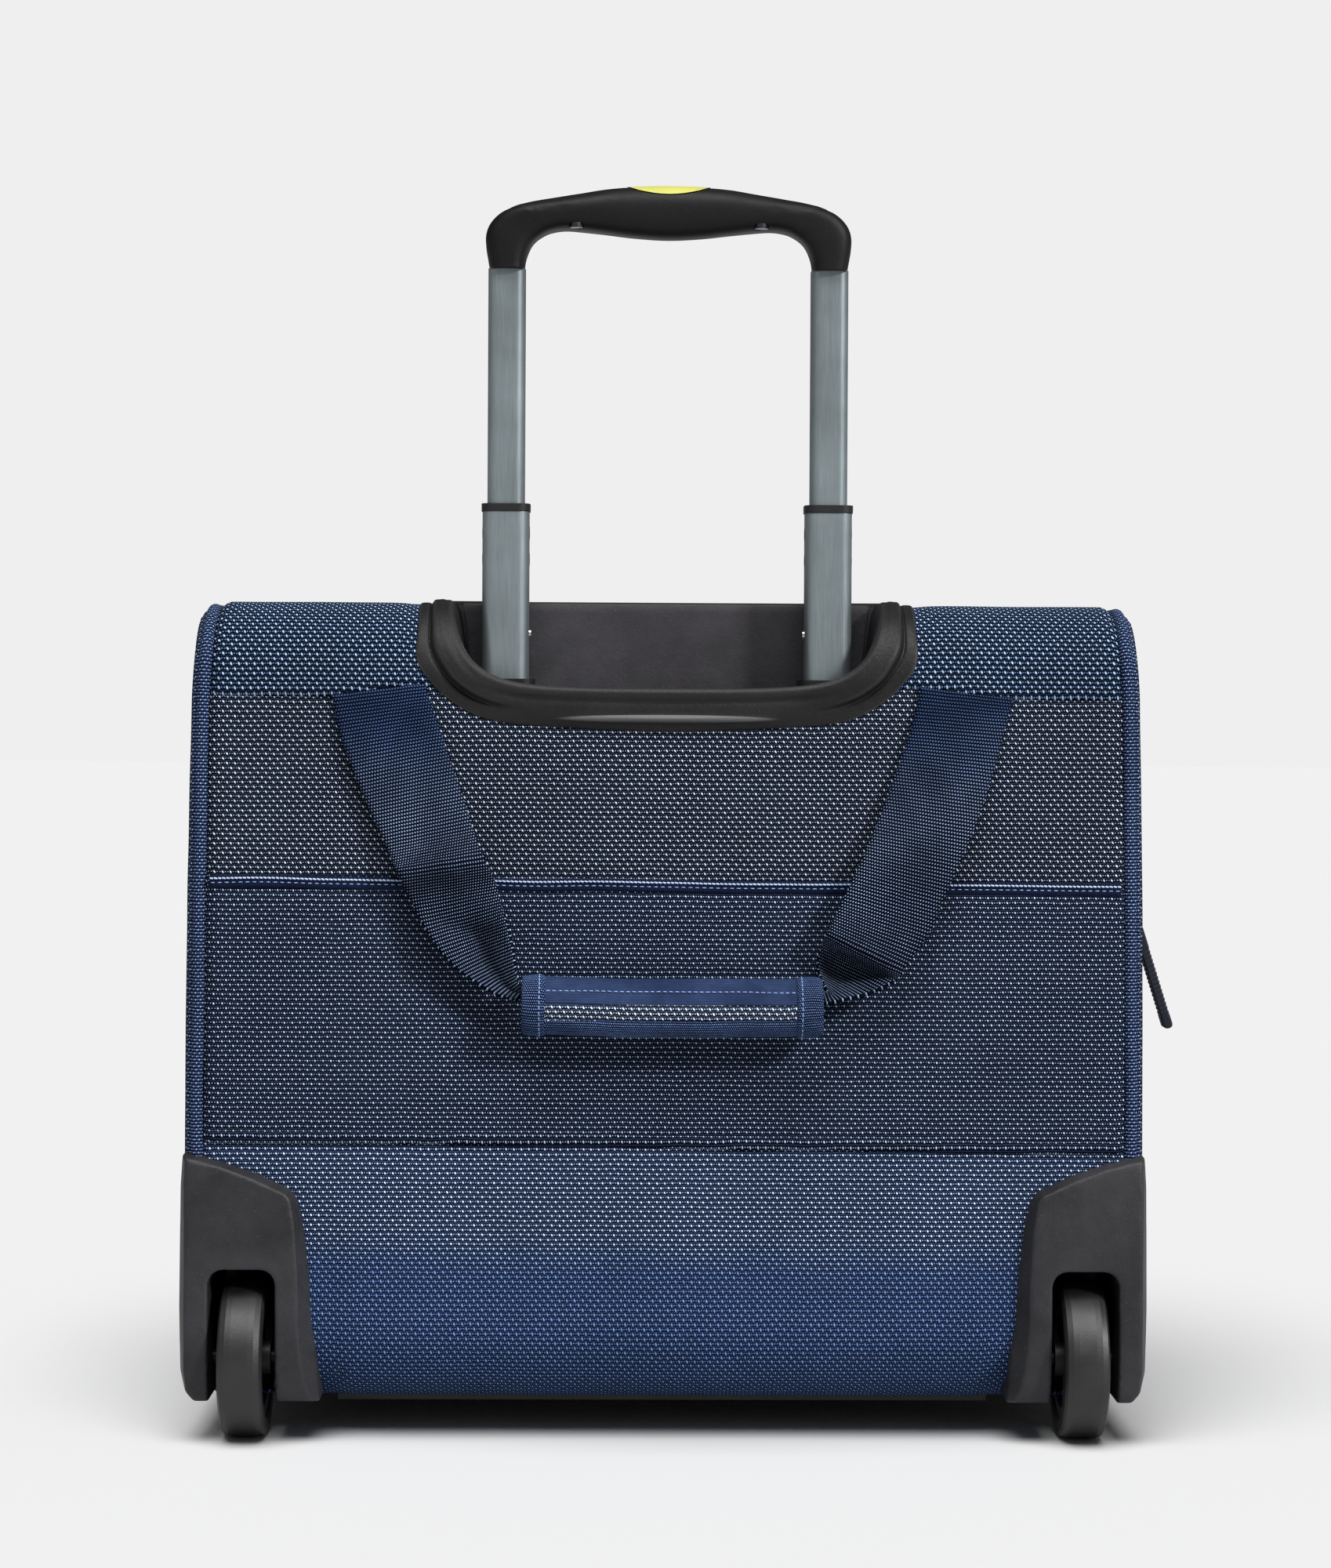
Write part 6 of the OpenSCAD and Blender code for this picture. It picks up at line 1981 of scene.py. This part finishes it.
# ======================================================================
# camera, floor and light
# ======================================================================
def camera():
    cam = bpy.data.objects.new("camera", bpy.data.cameras.new("camera"))
    bpy.context.scene.collection.objects.link(cam)
    yaw, pitch, roll = (math.radians(a) for a in (0.857, -0.774, 0.297))
    f = np.array([math.sin(yaw) * math.cos(pitch), math.cos(yaw) * math.cos(pitch), math.sin(pitch)])
    r0 = np.array([math.cos(yaw), -math.sin(yaw), 0])
    u0 = np.cross(r0, f)
    r = math.cos(roll) * r0 + math.sin(roll) * u0
    u = -math.sin(roll) * r0 + math.cos(roll) * u0
    M = Matrix.Identity(4)
    for i in range(3):
        M[i][0], M[i][1], M[i][2] = r[i], u[i], -f[i]
    M[0][3], M[1][3], M[2][3] = -0.0235, -1.6346, 0.3187
    cam.matrix_world = M
    cam.data.sensor_width = 36
    cam.data.lens = 4347.1 * 36 / 2000
    cam.data.clip_end = 100
    bpy.context.scene.camera = cam


camera()

m = Mesh()
m.grid(np.array([[[-40000, -40000, 0], [-40000, 40000, 0]], [[40000, -40000, 0], [40000, 40000, 0]]]), flip=False)
fl = bpy.data.materials.new("floor_pale")
fl.use_nodes = True
FLOOR = fl.node_tree.nodes["Principled BSDF"]
FLOOR.inputs["Base Color"].default_value = (0.80, 0.80, 0.80, 1)
FLOOR.inputs["Roughness"].default_value = 0.9
FLOOR.inputs["Specular IOR Level"].default_value = 0.0
MAT["floor"] = fl
fo = m.make("floor", "floor")

world = bpy.context.scene.world or bpy.data.worlds.new("studio")
bpy.context.scene.world = world
world.use_nodes = True
wt = world.node_tree
wt.nodes.clear()
wo = wt.nodes.new("ShaderNodeOutputWorld")
mixs = wt.nodes.new("ShaderNodeMixShader")
lp = wt.nodes.new("ShaderNodeLightPath")
amb = wt.nodes.new("ShaderNodeBackground")
seen = wt.nodes.new("ShaderNodeBackground")
AMB = 0.12
amb.inputs[0].default_value = (AMB, AMB, AMB, 1)
seen.inputs[0].default_value = (0.863, 0.863, 0.863, 1)
wt.links.new(lp.outputs["Is Camera Ray"], mixs.inputs[0])
wt.links.new(amb.outputs[0], mixs.inputs[1])
wt.links.new(seen.outputs[0], mixs.inputs[2])
wt.links.new(mixs.outputs[0], wo.inputs[0])


def sun(name, energy, angle, direction):
    """direction is where the light comes from."""
    l = bpy.data.lights.new(name, "SUN")
    l.energy = energy
    l.angle = math.radians(angle)
    o = bpy.data.objects.new(name, l)
    o.rotation_mode = "QUATERNION"
    o.rotation_quaternion = Vector(direction).normalized().to_track_quat("Z", "Y")
    bpy.context.scene.collection.objects.link(o)
    return o


not_floor = bpy.data.collections.new("floor_out")
not_floor.objects.link(fo)
for s_ in (sun("key", 2.8, 9, (1.15, -1.0, 0.85)), sun("fill", 0.12, 60, (-0.9, -1.0, 0.5)), sun("top", 2.9, 26, (0.0, -0.5, 1.0))):
    s_.light_linking.receiver_collection = not_floor
    not_floor.collection_objects[0].light_linking.link_state = "EXCLUDE"
only_floor = bpy.data.collections.new("floor_in")
only_floor.objects.link(fo)
sun("floor_top", 3.3, 46, (-0.06, -0.38, 1.0)).light_linking.receiver_collection = only_floor
bpy.context.scene.view_settings.view_transform = "Standard"
